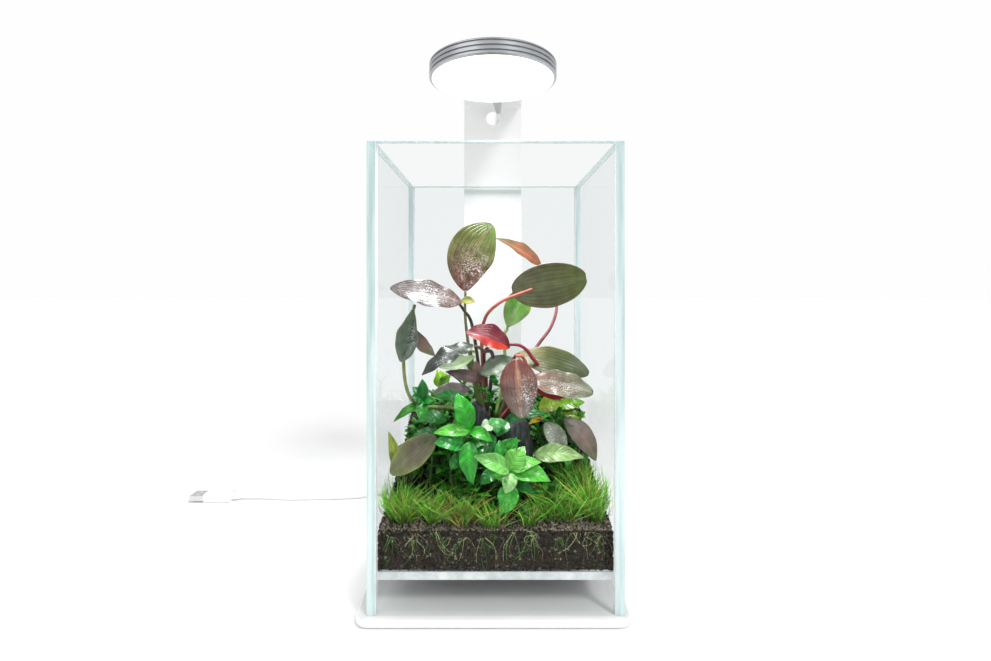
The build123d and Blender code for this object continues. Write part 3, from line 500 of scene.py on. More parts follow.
def grain_colours(count, pale_share):
    """Mostly dark brown grains, with a share of grey and tan ones."""
    dark = linear((45, 34, 17)) * rng.uniform(0.1, 1.7, (count, 1))
    pale = linear((136, 126, 108)) * rng.uniform(0.35, 1.5, (count, 1))
    return np.where(rng.random((count, 1)) < np.asarray(pale_share).reshape(-1, 1), pale, dark)


soil_finish = granule_finish()
core_rings = soil_rings()
soil_core = skin("soil_core", core_rings, soil_finish, tint=core_rings * 0 + linear((17, 13, 7)))
top_count, top_radius = 7600, (0.0005, 0.0012)
top_x = rng.uniform(soil_low[0] + grain_inset, soil_high[0] - grain_inset, top_count)
top_y = rng.uniform(soil_low[1] + grain_inset, soil_high[1] - grain_inset, top_count)
top_places = np.column_stack([top_x, top_y, bank(top_y) - rng.uniform(0, grain_sink, top_count)])
# The pale share of the top's grains falls from the front backwards.
most_pale, least_pale, pale_depth = 0.75, 0.10, 0.06
front_share = np.clip(most_pale - (top_y - soil_low[1]) / pale_depth, least_pale, most_pale)
grit_count, grit_radius, grit_pale, grit_depth, grit_play = 5200, (0.0003, 0.0006), 0.85, 0.03, 0.0004
grit_x = rng.uniform(soil_low[0] + grain_inset, soil_high[0] - grain_inset, grit_count)
grit_y = soil_low[1] + grit_play + grit_depth * rng.random(grit_count) ** 1.3
grit_places = np.column_stack([grit_x, grit_y, bank(grit_y) + rng.uniform(-grit_play, grit_play, grit_count)])
grit = granules(
    "soil_grit",
    grit_places,
    rng.uniform(*grit_radius, grit_count),
    grain_colours(grit_count, grit_pale),
    soil_finish,
)
top_grains = granules(
    "soil_top",
    top_places,
    rng.uniform(*top_radius, top_count),
    grain_colours(top_count, front_share),
    soil_finish,
)


def wall_places(count, axis, level):
    """Even places over one upright face of the bed, just inside it: from its foot up to the bank's surface."""
    spots = rng.uniform(soil_low, soil_high, (count, 3))
    foot = soil_low[2] + grain_inset
    spots[:, 2] = foot + (bank(spots[:, 1]) - grain_sink - soil_low[2]) * rng.random(count)
    spots[:, axis] = level
    spots[:, 2] = np.where(axis == 1, foot + front_rise * rng.random(count), spots[:, 2])
    return spots


front_rise, front_grains, side_grains = 0.0225, 3600, 2900
wall_radius, wall_pale = (0.0004, 0.0012), 0.045
wall_spots = np.concatenate(
    [
        wall_places(front_grains, 1, soil_low[1] + pane_inset),
        wall_places(side_grains, 0, soil_low[0] + pane_inset),
        wall_places(side_grains, 0, soil_high[0] - pane_inset),
    ]
)
wall_grains = granules(
    "soil_walls",
    wall_spots,
    rng.uniform(*wall_radius, len(wall_spots)),
    grain_colours(len(wall_spots), wall_pale),
    soil_finish,
)
for piece in (soil_core, top_grains, grit, wall_grains):
    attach(piece, "tank")
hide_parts("soil")


# ---------------------------------------------------------------- slate stones
# Two split slabs of dark slate set upright in the soil. Their sides are rough, with fine upright cleavage lines.
def slate():
    """Dark grey stone with paler streaks along the cleavage and a wet sheen."""
    material, tree, shader = new_material("slate", Roughness=0.42)
    stretched = add_node(tree, "Mapping", {"Vector": object_place(tree), "Scale": (420.0, 420.0, 60.0)}).outputs[0]
    streak = noise(tree, stretched, 1.0, 5.0)
    dark, grey, pale = (0.018, 0.020, 0.022), (0.055, 0.06, 0.065), (0.16, 0.17, 0.18)
    tree.links.new(ramp(tree, streak, (0.3, dark), (0.55, grey), (0.75, pale)), shader.inputs["Base Color"])
    roughen(tree, shader, streak, 0.7, 0.0008)
    return material


def slab_rings(node, lean, seed):
    """Rings up a slab: rounded squares that narrow upwards, shifted and roughened by sums of sines."""
    low, high = (np.array(corner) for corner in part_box(node))
    angle = np.linspace(0, math.tau, 72, endpoint=False)[None]
    up = np.linspace(0, 1, 40)[:, None]
    square = (np.abs(np.cos(angle)) ** 5 + np.abs(np.sin(angle)) ** 5) ** -0.2
    taper = (1 - 0.42 * up**1.2) * np.clip((1 - up) * 16, 0, 1) ** 0.35
    flakes = np.sign(np.sin(7 * angle + 5 * up + seed)) * 0.02 + np.sin(13 * angle + 3 * up + 2 * seed) * 0.03
    reach = square * taper * (0.9 + flakes + 0.03 * np.sin(21 * up + 3 * angle + seed))
    half = (high - low) / 2
    x = (low[0] + high[0]) / 2 + half[0] * (reach * np.cos(angle) + lean * up)
    y = (low[1] + high[1]) / 2 + half[1] * reach * np.sin(angle)
    z = low[2] + (high[2] - low[2]) * (up + 0.0 * angle) + 0.004 * up * np.cos(angle + seed)
    return np.stack([x, y, z], -1)[None]


slate_finish = slate()
for node, lean, seed in (("slate_stone_right", -0.18, 1.0), ("slate_stone_left", -0.2, 2.6)):
    slab = skin(node + "_slab", slab_rings(node, lean, seed), slate_finish)
    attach(slab, "tank")
    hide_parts(node)


# ---------------------------------------------------------------- stems, blades and leaves: shapes
# Every plant is made of two shapes. A stalk is a round or flattened tube on a smooth curve. A leaf is a thin closed
# blade about its midrib, with its own width, fold, ripple, bow and twist.
def curve_through(points, count):
    """Points on the smooth curve through some points: on each stretch, the cubic whose ends take their slopes from
    the neighbours on either side. points is (bodies, given, 3)."""
    ends = 2 * points[:, :1] - points[:, 1:2], 2 * points[:, -1:] - points[:, -2:-1]
    p = np.concatenate([ends[0], points, ends[1]], 1)
    along = np.linspace(0, points.shape[1] - 1, count)
    i = np.minimum(along.astype(int), points.shape[1] - 2)
    f = (along - i)[:, None]
    a, b, c, d = p[:, i], p[:, i + 1], p[:, i + 2], p[:, i + 3]
    bend = (2 * a - 5 * b + 4 * c - d) * f**2 + (3 * b - a - 3 * c + d) * f**3
    return 0.5 * (2 * b + (c - a) * f + bend)


def unit(v):
    """Vectors over their own lengths."""
    return v / np.maximum(np.linalg.norm(v, axis=-1, keepdims=True), 1e-9)


def stalk_rings(path, radius, around, flat=1.0):
    """Rings about a path (bodies, count, 3): at each point, an ellipse of that radius square to the path."""
    way = unit(np.gradient(path, axis=1))
    mean_way = unit(way.mean(1, keepdims=True))
    smallest = np.argmin(np.abs(mean_way), -1)
    side = unit(np.cross(np.eye(3)[smallest], way))
    up = np.cross(way, side)
    angle = np.linspace(0, math.tau, around, endpoint=False)
    r = np.broadcast_to(radius, path.shape[:2])[..., None, None]
    ring = np.cos(angle)[:, None] * side[:, :, None] + flat * np.sin(angle)[:, None] * up[:, :, None]
    return path[:, :, None] + r * ring


def leaf_rings(
    base, tip, width, facing, bow, fold, thickness, rows, around, ripple=0.0, waves=3.0, twist=0.0, sweep=0.0,
    belly=0.42, blunt=0.75,
):
    """Rings across a leaf, and each point's place on it (share along, share across, 0).

    The midrib runs from base to tip, bowed towards the facing side by a half sine. The half width is the sine of pi
    times the share along, raised to set where the widest part is and how blunt the ends are. The edges rise by the
    fold and by a sine ripple, and the section turns steadily by the twist."""
    def column(value):
        return np.broadcast_to(np.asarray(value, float).reshape(-1, 1), (len(base), 1))[..., None]

    u = np.linspace(0.012, 0.988, rows)[None, :, None]
    run = tip - base
    length = np.linalg.norm(run, axis=-1)[:, None, None]
    side = unit(np.cross(facing, run))[:, None]
    up = unit(np.cross(run, side[:, 0]))[:, None]
    arch = np.sin(math.pi * u)
    path = base[:, None] + run[:, None] * u + up * column(bow) * length * arch + side * column(sweep) * length * arch
    way = unit(np.gradient(path, axis=1))
    up = unit(np.cross(way, np.broadcast_to(side, way.shape)))
    side = np.cross(up, way)
    turn = column(twist) * (u - 0.4)
    side, up = side * np.cos(turn) + up * np.sin(turn), up * np.cos(turn) - side * np.sin(turn)
    power = np.log(0.5) / np.log(column(belly))
    half = column(width) / 2 * np.sin(math.pi * u**power) ** column(blunt)
    angle = np.linspace(0, math.tau, around, endpoint=False)[None, None]
    across = np.cos(angle)
    edge = np.abs(across) ** 1.5
    wave = column(ripple) * np.sin(column(waves) * math.tau * u + np.sign(across) * 1.1) * across**2
    rise = half * (column(fold) * edge + wave) + column(thickness) * np.sin(angle) * (1 - 0.35 * u)
    reach = half * across * np.sqrt(np.maximum(1 - column(fold) ** 2, 0.3))
    rings = path[:, :, None] + side[:, :, None] * reach[..., None] + up[:, :, None] * rise[..., None]
    place = np.stack([np.broadcast_to(u, rise.shape), np.broadcast_to(across, rise.shape), 0 * rise], -1)
    return rings, place


def leaf_finish(name, veins, slant, gloss, vein_shade=0.72, droplet_glint=0.0, thin=0.25):
    """A leaf in its own tint: vein lines, mottling, a glossy cuticle and some light that comes through.

    The lines are a sine's crests. It runs along the leaf, slanting away from the midrib, where veins is above 0, and
    across the leaf where it is below 0, which gives veins along it. At 0 there are none. The share of droplet glints
    paints pale specks into the colour where the leaf attribute's third value says: painted highlights of droplets."""
    material, tree, shader = new_material(name, Roughness=gloss)
    tint = add_node(tree, "Attribute", attribute_name="tint").outputs["Color"]
    leaf = add_node(tree, "Attribute", attribute_name="leaf").outputs["Vector"]
    parts = add_node(tree, "SeparateXYZ", {0: leaf}).outputs
    line = out = maths(tree, "ABSOLUTE", parts[1])
    if veins > 0:
        line = maths(tree, "SUBTRACT", parts[0], maths(tree, "MULTIPLY", out, slant))
    wave = maths(tree, "SINE", maths(tree, "MULTIPLY", line, abs(veins) * math.tau))
    vein = spread(tree, wave, 0.55, 1.0)
    place = object_place(tree)
    cloud = noise(tree, place, 170.0, 5.0)
    lined = ramp(tree, vein, (0.0, (1.0, 1.0, 1.0)), (1.0, (vein_shade, vein_shade, vein_shade)))
    mottled = ramp(tree, cloud, (0.3, (0.72, 0.72, 0.72)), (0.7, (1.22, 1.22, 1.22)))
    base = tinted(tree, tinted(tree, tint, lined), mottled)
    # Painted highlights: droplet glints, mixed into the leaf's colour as near-white specks.
    if droplet_glint > 0:
        drop_glints = spread(tree, noise(tree, place, 1300.0, 2.0), 0.52, 0.60)
        glint_patches = maths(tree, "MULTIPLY", spread(tree, cloud, 0.35, 0.6), drop_glints)
        share = maths(tree, "MULTIPLY", glint_patches, maths(tree, "MULTIPLY", parts[2], droplet_glint))
        painted_glint = (0.86, 0.85, 0.87, 1.0)
        base = add_node(tree, "Mix", {0: share, 6: base, 7: painted_glint}, data_type="RGBA").outputs[2]
    tree.links.new(base, shader.inputs["Base Color"])
    roughen(tree, shader, maths(tree, "SUBTRACT", cloud, vein), 0.5, 0.0004)
    through = add_node(tree, "BsdfTranslucent", {"Color": base}).outputs[0]
    both_shaders(tree, thin, shader.outputs[0], through)
    return material


def leaf_tint(place, first, middle, last, rim, rib, rib_width=0.05):
    """A leaf's colour: from base over middle to tip, towards the rim's near the edge and the rib's at the midrib.

    Each colour is (bodies, 3) or one colour. The rim grows with the sixth power of the share across."""
    def even(colour):
        return np.broadcast_to(np.asarray(colour, float).reshape(-1, 1, 1, 3), (len(place), 1, 1, 3))

    u, across = place[..., :1], np.abs(place[..., 1:2])
    low = np.clip(u * 2, 0, 1)
    high = np.clip(u * 2 - 1, 0, 1)
    colour = even(first) * (1 - low) + even(middle) * low
    colour = colour * (1 - high) + even(last) * high
    edge = 0.5 * across**6
    colour = colour * (1 - edge) + even(rim) * edge
    core = 0.7 * np.exp(-((across / rib_width) ** 2))
    return colour * (1 - core) + even(rib) * core


# ---------------------------------------------------------------- roots and grass
# Hair grass grows in loose tufts along the front and in shorter ones at the back. Its thin blades are fresh green
# with some tan and orange ones, and its pale roots hang down through the soil against the front pane.
def wandering(starts, ends, count, sway):
    """Paths from starts to ends that bow to one side by a half sine, with a smaller full sine on top."""
    u = np.linspace(0, 1, count)[None, :, None]
    bow = rng.normal(size=(len(starts), 1, 3)) * sway * np.sin(math.pi * u)
    wave = rng.normal(size=(len(starts), 1, 3)) * sway * 0.35 * np.sin(2 * math.pi * u)
    return starts[:, None] * (1 - u) + ends[:, None] * u + bow + wave


root_heads, strands, root_points = 15, 6, 26
head_inset, head_stray, head_height = 0.006, 0.004, (0.0185, 0.0238)
strand_stray, strand_drift, strand_drop, strand_sway = 0.0016, 0.0058, (0.005, 0.021), 0.0021
head_x = np.linspace(soil_low[0] + head_inset, soil_high[0] - head_inset, root_heads)
head_x = head_x + rng.normal(size=root_heads) * head_stray
head_z = soil_low[2] + rng.uniform(*head_height, root_heads)
root_starts = np.repeat(np.column_stack([head_x, np.full(root_heads, soil_low[1]), head_z]), strands, 0)
root_count = len(root_starts)
root_starts[:, 0] += rng.normal(size=root_count) * strand_stray
aside = rng.normal(size=root_count) * strand_drift
root_ends = root_starts + np.column_stack([aside, np.zeros(root_count), -rng.uniform(*strand_drop, root_count)])
root_ends[:, 2] = np.maximum(root_ends[:, 2], soil_low[2] + 0.001)
root_paths = wandering(root_starts, root_ends, root_points, strand_sway)
root_paths[..., 1] = soil_low[1] - 0.00002
root_paths[..., 2] = np.maximum(root_paths[..., 2], soil_low[2] + 0.0008)
root_radius = rng.uniform(0.0001, 0.0002, (root_count, 1)) * np.linspace(1.1, 0.5, root_points)[None]
plain_leaf = leaf_finish("blade", 0.0, 0.0, 0.45, thin=0.2)
cream = rng.random((root_count, 1)) < 0.35
root_shade = np.where(cream, linear((204, 202, 150)), linear((98, 156, 58)))
root_shade = root_shade * rng.uniform(0.35, 1.2, (root_count, 1))
root_rings = stalk_rings(root_paths, root_radius, 6)
roots = skin("roots", root_rings, plain_leaf, tint=root_rings * 0 + root_shade[:, None, None])
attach(roots, "tank")

# A patch is its middle, its reach in x and y, the height of its blades, all in metres, and how many tufts it has.
# Each tuft is 30 blades that fan out from one spot.
patches = (
    (-0.056, -0.058, 0.009, 0.006, 0.021, 12),
    (-0.038, -0.061, 0.005, 0.005, 0.017, 5),
    (-0.021, -0.063, 0.009, 0.005, 0.018, 8),
    (-0.001, -0.0685, 0.004, 0.0015, 0.016, 4),
    (0.024, -0.064, 0.005, 0.004, 0.013, 3),
    (0.040, -0.057, 0.009, 0.008, 0.019, 11),
    (0.062, -0.055, 0.005, 0.010, 0.023, 12),
    (0.058, -0.028, 0.008, 0.012, 0.016, 8),
    (0.000, -0.050, 0.062, 0.008, 0.007, 8),
    (-0.045, 0.050, 0.022, 0.020, 0.012, 9),
    (0.040, 0.055, 0.026, 0.014, 0.013, 9),
)
blades_a_tuft, blade_points = 30, 7
tuft_spread, side_gap, front_gap, tip_gap = 0.0011, 0.003, 0.0012, 0.0005
fan, stray = 0.22, 0.26


def grass_paths():
    """Blades of all tufts: each starts on the bed at its tuft's foot, rises, leans outwards and droops at its tip.

    The lean is its place in the tuft times the fan, plus a random stray, both as shares of the blade's height."""
    rows = np.repeat(np.array(patches), [p[5] for p in patches], 0)
    foot = rows[:, :2] + rng.uniform(-1, 1, (len(rows), 2)) * rows[:, 2:4]
    foot = np.repeat(foot, blades_a_tuft, 0)
    count = len(foot)
    spot = rng.normal(size=(count, 2))
    x = np.clip(foot[:, 0] + spot[:, 0] * tuft_spread, soil_low[0] + side_gap, soil_high[0] - side_gap)
    y = np.maximum(foot[:, 1] + spot[:, 1] * tuft_spread, soil_low[1] + front_gap)
    start = np.column_stack([x, y, bank(y) - grain_sink])
    height = np.repeat(rows[:, 4], blades_a_tuft) * rng.uniform(0.3, 1.15, count)
    lean = (spot * fan + rng.normal(size=(count, 2)) * stray) * height[:, None]
    middle = start + np.column_stack([lean * 0.75, height * 0.58])
    top = start + np.column_stack([lean * (1.5 + 0.6 * rng.random((count, 1))), height])
    path = curve_through(np.stack([start, middle, top], 1), blade_points)
    path[..., 0] = np.clip(path[..., 0], soil_low[0] + tip_gap, soil_high[0] - tip_gap)
    path[..., 1] = np.clip(path[..., 1], soil_low[1] + grain_play, soil_high[1] - tip_gap)
    return path, count


blade_paths, blade_count = grass_paths()
blade_taper = np.array([[1, 1, 0.95, 0.85, 0.7, 0.5, 0.2]])
blade_radius = rng.uniform(0.00015, 0.00027, (blade_count, 1)) * blade_taper
blade_rings = stalk_rings(blade_paths, blade_radius, 5, flat=0.6)
blade_green = linear((138, 210, 66)) * rng.uniform(0.35, 1.4, (blade_count, 1))
blade_green = blade_green * (1 + rng.normal(size=(blade_count, 3)) * (0.15, 0.04, 0.1)).clip(0.5, 1.6)
blade_dry = linear((214, 176, 96)) * rng.uniform(0.6, 1.2, (blade_count, 1))
# A tenth of the blades are dry, and more of them near the middle patch.
dry_middle, dry_reach = -0.018, 0.009
dry_share = 0.10 + 0.3 * np.exp(-(((blade_paths[:, 0, 0] - dry_middle) / dry_reach) ** 2))
blade_shade = np.where(rng.random((blade_count, 1)) < dry_share[:, None], blade_dry, blade_green)
# A blade is dark at its foot, painted shade from its tuft, and bright at its tip.
painted_shade_foot_to_tip = np.linspace(0.25, 1.35, blade_points)[None, :, None, None]
blade_tint = blade_shade[:, None, None] * painted_shade_foot_to_tip + blade_rings * 0
grass = skin("grass", blade_rings, plain_leaf, tint=blade_tint)
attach(grass, "tank")
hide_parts("grass_left", "grass_middle", "grass_right")


# ---------------------------------------------------------------- broad-leaved plant
# A rosette plant with long stalks that grows from between the stones. Its leathery blades run from olive over
# plum to red and are paler below. Some are wet, with fine droplets whose glints are painted highlights: pale
# specks mixed into the leaf colour.
mm = 0.001
stalks = (
    ((-9, 4, 98), (-15, 11, 128), (-18, 14, 147), (-21, 16, 171), (-21, 18, 192)),
    ((5, 6, 98), (30, 6, 146), (44, 8, 166), (48, 14, 185), (40, 42, 211)),
    ((-3, 2, 98), (-7, 1, 132), (-7, -12, 168), (4, -22, 184), (27, -27, 194)),
    ((2, 6, 98), (9, 18, 129), (9, 24, 156), (11, 26, 161), (12, 26, 165)),
    ((-6, 3, 98), (-10, 6, 132), (-15, -8, 168), (-20, -20, 179), (-23, -26, 184)),
    ((-9, 2, 98), (-30, -14, 110), (-53, -32, 118), (-59, -37, 148), (-51, -41, 184)),
    ((-6, 0, 98), (-19, -12, 143), (-28, -22, 144), (-33, -27, 147), (-36, -29, 148)),
    ((-5, -2, 98), (0, -22, 146), (-6, -29, 152), (-9, -33, 155), (-12, -36, 156)),
    ((-4, 0, 98), (-5, -2, 130), (-6, -8, 148), (2, -14, 155), (10, -22, 153)),
    ((4, 0, 98), (33, -16, 130), (26, -22, 148), (19, -24, 155), (11, -24, 156)),
    ((-5, -2, 98), (-12, -8, 130), (-16, -12, 149), (-15, -14, 150), (-13, -16, 150)),
    ((4, 0, 98), (14, -6, 128), (14, -10, 136), (14, -14, 142), (13, -18, 146)),
    ((5, -2, 98), (26, -22, 130), (24, -29, 138), (20, -38, 149), (15, -42, 151)),
    ((6, 0, 98), (17, -8, 134), (15, -10, 142), (16, -11, 146), (19, -12, 148)),
    ((6, -2, 98), (21, -24, 125), (22, -26, 131), (24, -29, 135), (26, -30, 134)),
)
stalk_shades = linear(
    *((88, 84, 58), (148, 88, 92), (186, 100, 88), (110, 138, 70), (84, 80, 62), (140, 152, 92)),
    *((132, 142, 84), (88, 70, 66), (126, 40, 48), (150, 42, 66), (120, 136, 76), (96, 110, 76), (198, 118, 104)),
    *((118, 60, 60), (156, 72, 72)),
)
# A leaf is its base, tip and width, the way it faces, its bow, fold, ripple, twist, belly and bluntness, and its
# sideways sweep. Lengths are in millimetres.
broad_leaves = {
    "tall": ((-21, 18, 191), (0.5, 22, 243), 36, (0.15, -1, 0.1), 0.06, 0.12, 0.03, 0.0, 0.52, 0.68, 0.13),
    "brown": ((40, 42, 211), (1, 36, 234), 18, (0.25, -0.7, 0.8), 0.05, 0.25, 0.05, 0.4, 0.45, 0.95, 0.0),
    "oval": ((13, -18, 192), (64, -27, 202), 31, (0.05, -1, -0.15), 0.05, 0.08, 0.03, 0.1, 0.50, 0.48, 0.0),
    "light": ((11.5, 26, 163), (30, 29, 196), 22, (0.2, -1, -0.2), 0.03, 0.15, 0.05, 0.2, 0.5, 0.8, 0.05),
    "silver": ((-21, -26, 185), (-67, -44, 195), 22, (0.1, -0.74, 0.66), 0.03, 0.12, 0.07, -0.3, 0.45, 0.7, 0.0),
    "hang": ((-51, -44, 183), (-60, -44, 147), 19, (-0.5, -0.85, 0.1), -0.04, 0.45, 0.05, -0.7, 0.55, 0.8, 0.06),
    "pinkish": ((-39, -30, 149), (-52, -37, 168), 12, (-0.4, -0.8, -0.35), 0.05, 0.3, 0.04, 0.5, 0.45, 0.9, 0.0),
    "rippled": ((-13, -34, 157), (-45, -53, 140), 15, (-0.2, -0.65, 0.75), 0.10, 0.1, 0.15, 0.2, 0.45, 0.8, 0.0),
    "red": ((12, -21, 153), (-19, -24, 164), 19, (-0.1, -0.8, 0.6), 0.04, 0.30, 0.10, 0.5, 0.5, 0.8, -0.06),
    "cup": ((-12, -31, 149), (-36, -34, 142), 10, (-0.1, -0.7, 0.7), -0.14, 0.3, 0.0, 0.0, 0.5, 0.7, 0.0),
    "pinkbrown": ((-8, -16, 128), (-12, -19, 144), 9, (-0.3, -0.9, 0.3), 0.02, 0.2, 0.05, 0.0, 0.5, 0.8, 0.0),
    "greygreen": ((13, -18, 146), (-8, -30, 136), 14, (0, -0.8, 0.6), 0.06, 0.15, 0.05, 0.0, 0.5, 0.7, 0.0),
    "big": ((15, -42, 149), (18, -54, 113), 24, (0, -0.97, 0.25), 0.06, 0.10, 0.03, 0.0, 0.45, 0.68, 0.0),
    "olive": ((17, -12, 147), (67, -20, 135), 22, (0.05, -0.8, 0.6), 0.07, 0.10, 0.04, 0.1, 0.5, 0.6, 0.0),
    "dusty": ((24, -29, 133), (67, -35, 125), 19, (0.05, -0.8, 0.6), 0.07, 0.10, 0.12, 0.1, 0.5, 0.6, 0.0),
    "under": ((29, -26, 125), (56, -28, 124), 13, (0, -0.85, -0.5), 0.02, 0.1, 0.05, 0.0, 0.5, 0.7, 0.0),
    "yellowbud": ((-22, -27, 185), (-12, -30, 185), 6, (0, -1, 0.3), 0.05, 0.3, 0.0, 0.0, 0.5, 0.9, 0.12),
    "mauve": ((-16, -12, 123), (-42, -20, 121), 12, (0, -0.8, 0.6), 0.05, 0.1, 0.05, 0.0, 0.5, 0.7, 0.0),
    "plum": ((-6, -20, 130), (-33, -22, 137), 9, (-0.1, -0.8, 0.5), 0.05, 0.2, 0.05, 0.0, 0.45, 0.85, 0.0),
    "hanging": ((49, -22, 105), (70, -27, 77), 16, (0.35, -0.9, 0.3), 0.10, 0.15, 0.04, 0.3, 0.42, 0.8, 0.04),
    "wide": ((-36, -50, 101), (-63, -61, 81), 19, (-0.2, -0.85, 0.5), 0.04, 0.12, 0.04, 0.0, 0.5, 0.62, 0.0),
    "round": ((35, -29, 104), (48, -36, 87), 14, (0.3, -0.9, 0.35), 0.05, 0.1, 0.0, 0.0, 0.5, 0.6, 0.0),
}
# Each leaf's colours, from base over middle to tip, then its rim and its rib.
broad_colours = {
    "tall": ((128, 66, 64), (88, 84, 46), (74, 96, 38), (94, 104, 52), (104, 92, 54)),
    "brown": ((136, 84, 60), (130, 84, 58), (82, 92, 54), (84, 92, 54), (172, 100, 70)),
    "oval": ((118, 122, 92), (100, 104, 66), (104, 116, 54), (112, 92, 54), (130, 136, 92)),
    "light": ((148, 188, 116), (104, 164, 60), (116, 152, 74), (160, 120, 80), (170, 196, 140)),
    "silver": ((88, 62, 52), (90, 78, 76), (98, 88, 84), (72, 66, 60), (118, 106, 104)),
    "hang": ((96, 112, 78), (88, 106, 86), (112, 128, 106), (140, 156, 132), (70, 86, 70)),
    "pinkish": ((150, 166, 118), (166, 128, 116), (128, 132, 108), (110, 124, 92), (176, 150, 130)),
    "rippled": ((50, 66, 46), (50, 56, 48), (62, 66, 60), (96, 100, 94), (70, 76, 66)),
    "red": ((200, 64, 34), (156, 30, 26), (136, 66, 74), (204, 84, 50), (104, 20, 30)),
    "cup": ((120, 150, 90), (186, 206, 170), (170, 190, 150), (120, 148, 90), (110, 140, 84)),
    "pinkbrown": ((96, 80, 72), (168, 138, 130), (180, 150, 140), (120, 100, 90), (150, 120, 110)),
    "greygreen": ((88, 108, 80), (106, 124, 100), (120, 134, 112), (96, 118, 84), (130, 146, 120)),
    "big": ((118, 56, 50), (114, 86, 74), (146, 132, 120), (84, 34, 38), (196, 144, 118)),
    "olive": ((128, 112, 42), (70, 82, 36), (60, 78, 32), (104, 106, 46), (96, 102, 50)),
    "dusty": ((146, 96, 84), (136, 122, 100), (112, 124, 92), (168, 176, 156), (178, 170, 150)),
    "under": ((170, 22, 40), (150, 14, 32), (120, 30, 40), (190, 70, 80), (180, 36, 52)),
    "yellowbud": ((168, 170, 78), (164, 168, 80), (176, 180, 100), (140, 150, 70), (180, 184, 110)),
    "mauve": ((104, 96, 92), (112, 104, 102), (96, 98, 88), (120, 118, 108), (130, 126, 118)),
    "plum": ((130, 92, 88), (74, 54, 50), (62, 52, 44), (96, 70, 64), (100, 80, 72)),
    "hanging": ((110, 112, 92), (146, 126, 118), (116, 126, 84), (110, 100, 90), (168, 152, 140)),
    "wide": ((104, 100, 72), (110, 104, 84), (120, 130, 80), (150, 168, 70), (136, 134, 104)),
    "round": ((118, 136, 92), (152, 160, 138), (140, 152, 120), (96, 120, 70), (170, 176, 156)),
}
stalk_points = 30
stalk_paths = curve_through(np.array(stalks) * mm, stalk_points)
stalk_radius = np.full((len(stalks), 1), 1.15) * mm * np.linspace(1.25, 0.85, stalk_points)[None]
stalk_body = stalk_rings(stalk_paths, stalk_radius, 10)
broad_stalks = skin("broad_stalks", stalk_body, plain_leaf, tint=stalk_body * 0 + stalk_shades[:, None, None])
columns = [np.array([leaf[i] for leaf in broad_leaves.values()], float) for i in range(11)]
broad_rings, broad_place = leaf_rings(
    base=columns[0] * mm,
    tip=columns[1] * mm,
    width=columns[2] * mm,
    facing=columns[3],
    bow=columns[4],
    fold=columns[5],
    ripple=columns[6],
    twist=columns[7],
    belly=columns[8],
    blunt=columns[9],
    sweep=columns[10],
    thickness=0.00045,
    rows=48,
    around=32,
)
shades = linear(*(broad_colours[name] for name in broad_leaves))
broad_tint = leaf_tint(broad_place, *(shades[:, i] for i in range(5)))
# The leaves with droplet glints painted on as highlights, each with where the glint patch's middle lies along and
# across it, and how far it reaches.
droplet_glint_parts = {
    "tall": (0.22, -0.35, 0.30, 0.9),
    "silver": (0.45, 0.0, 0.28, 0.6),
    "big": (0.75, 0.5, 0.35, 0.7),
    "dusty": (0.5, -0.2, 0.3, 0.6),
    "rippled": (0.6, 0.3, 0.15, 0.4),
    "round": (0.5, 0.0, 0.6, 1.3),
    "hang": (0.5, 0.4, 0.4, 0.5),
}
for number, name in enumerate(broad_leaves):
    if name in droplet_glint_parts:
        along, aside, reach_along, reach_across = droplet_glint_parts[name]
        off = ((broad_place[number, ..., 0] - along) / reach_along) ** 2
        off += ((broad_place[number, ..., 1] - aside) / reach_across) ** 2
        broad_place[number, ..., 2] = np.exp(-off)
has_droplet_glints = np.array([name in droplet_glint_parts for name in broad_leaves])
# The red leaf is wine-coloured on its upper half and vivid red on its lower.
red_number = list(broad_leaves).index("red")
upper_half = np.clip(0.5 - 3 * broad_place[red_number, ..., 1:2], 0, 1)
broad_tint[red_number] = broad_tint[red_number] * (1 - upper_half) + linear((120, 34, 48)) * upper_half
dry_finish = leaf_finish("broad_leaf", -5.0, 0.0, 0.34, vein_shade=0.68)
# The leaves with droplets take a finish that paints their glints as pale specks: painted highlights.
droplet_glint_finish = leaf_finish("broad_leaf_droplet_glints", -5.0, 0.0, 0.26, vein_shade=0.76, droplet_glint=0.95)
dry_leaves = skin("broad_leaves", broad_rings[~has_droplet_glints], dry_finish, broad_tint[~has_droplet_glints], broad_place[~has_droplet_glints])
wet_leaves = skin("broad_leaves_with_glints", broad_rings[has_droplet_glints], droplet_glint_finish, broad_tint[has_droplet_glints], broad_place[has_droplet_glints])
for piece in (broad_stalks, dry_leaves, wet_leaves):
    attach(piece, "tank")
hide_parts("broad_leaf_plant")


# ---------------------------------------------------------------- stem plants
# Soft bright-green stem plants fill the bank. Their leaves stand in pairs, each pair turned a quarter against the
# one below, droop from the stem, and form a small open rosette at its top.

# A bush is its middle, its reach in x and y, the height of its tops above the bed and how many stems it has.
bushes = (
    (-0.042, -0.022, 0.018, 0.024, 0.044, 16),
    (-0.020, -0.036, 0.010, 0.014, 0.046, 9),
    (-0.030, 0.012, 0.024, 0.020, 0.040, 10),
    (0.048, -0.006, 0.015, 0.016, 0.044, 12),
    (0.020, -0.050, 0.020, 0.006, 0.018, 7),
    (0.000, -0.052, 0.012, 0.006, 0.024, 8),
    (0.030, 0.024, 0.030, 0.014, 0.036, 8),
    (-0.010, 0.046, 0.050, 0.016, 0.022, 12),
)


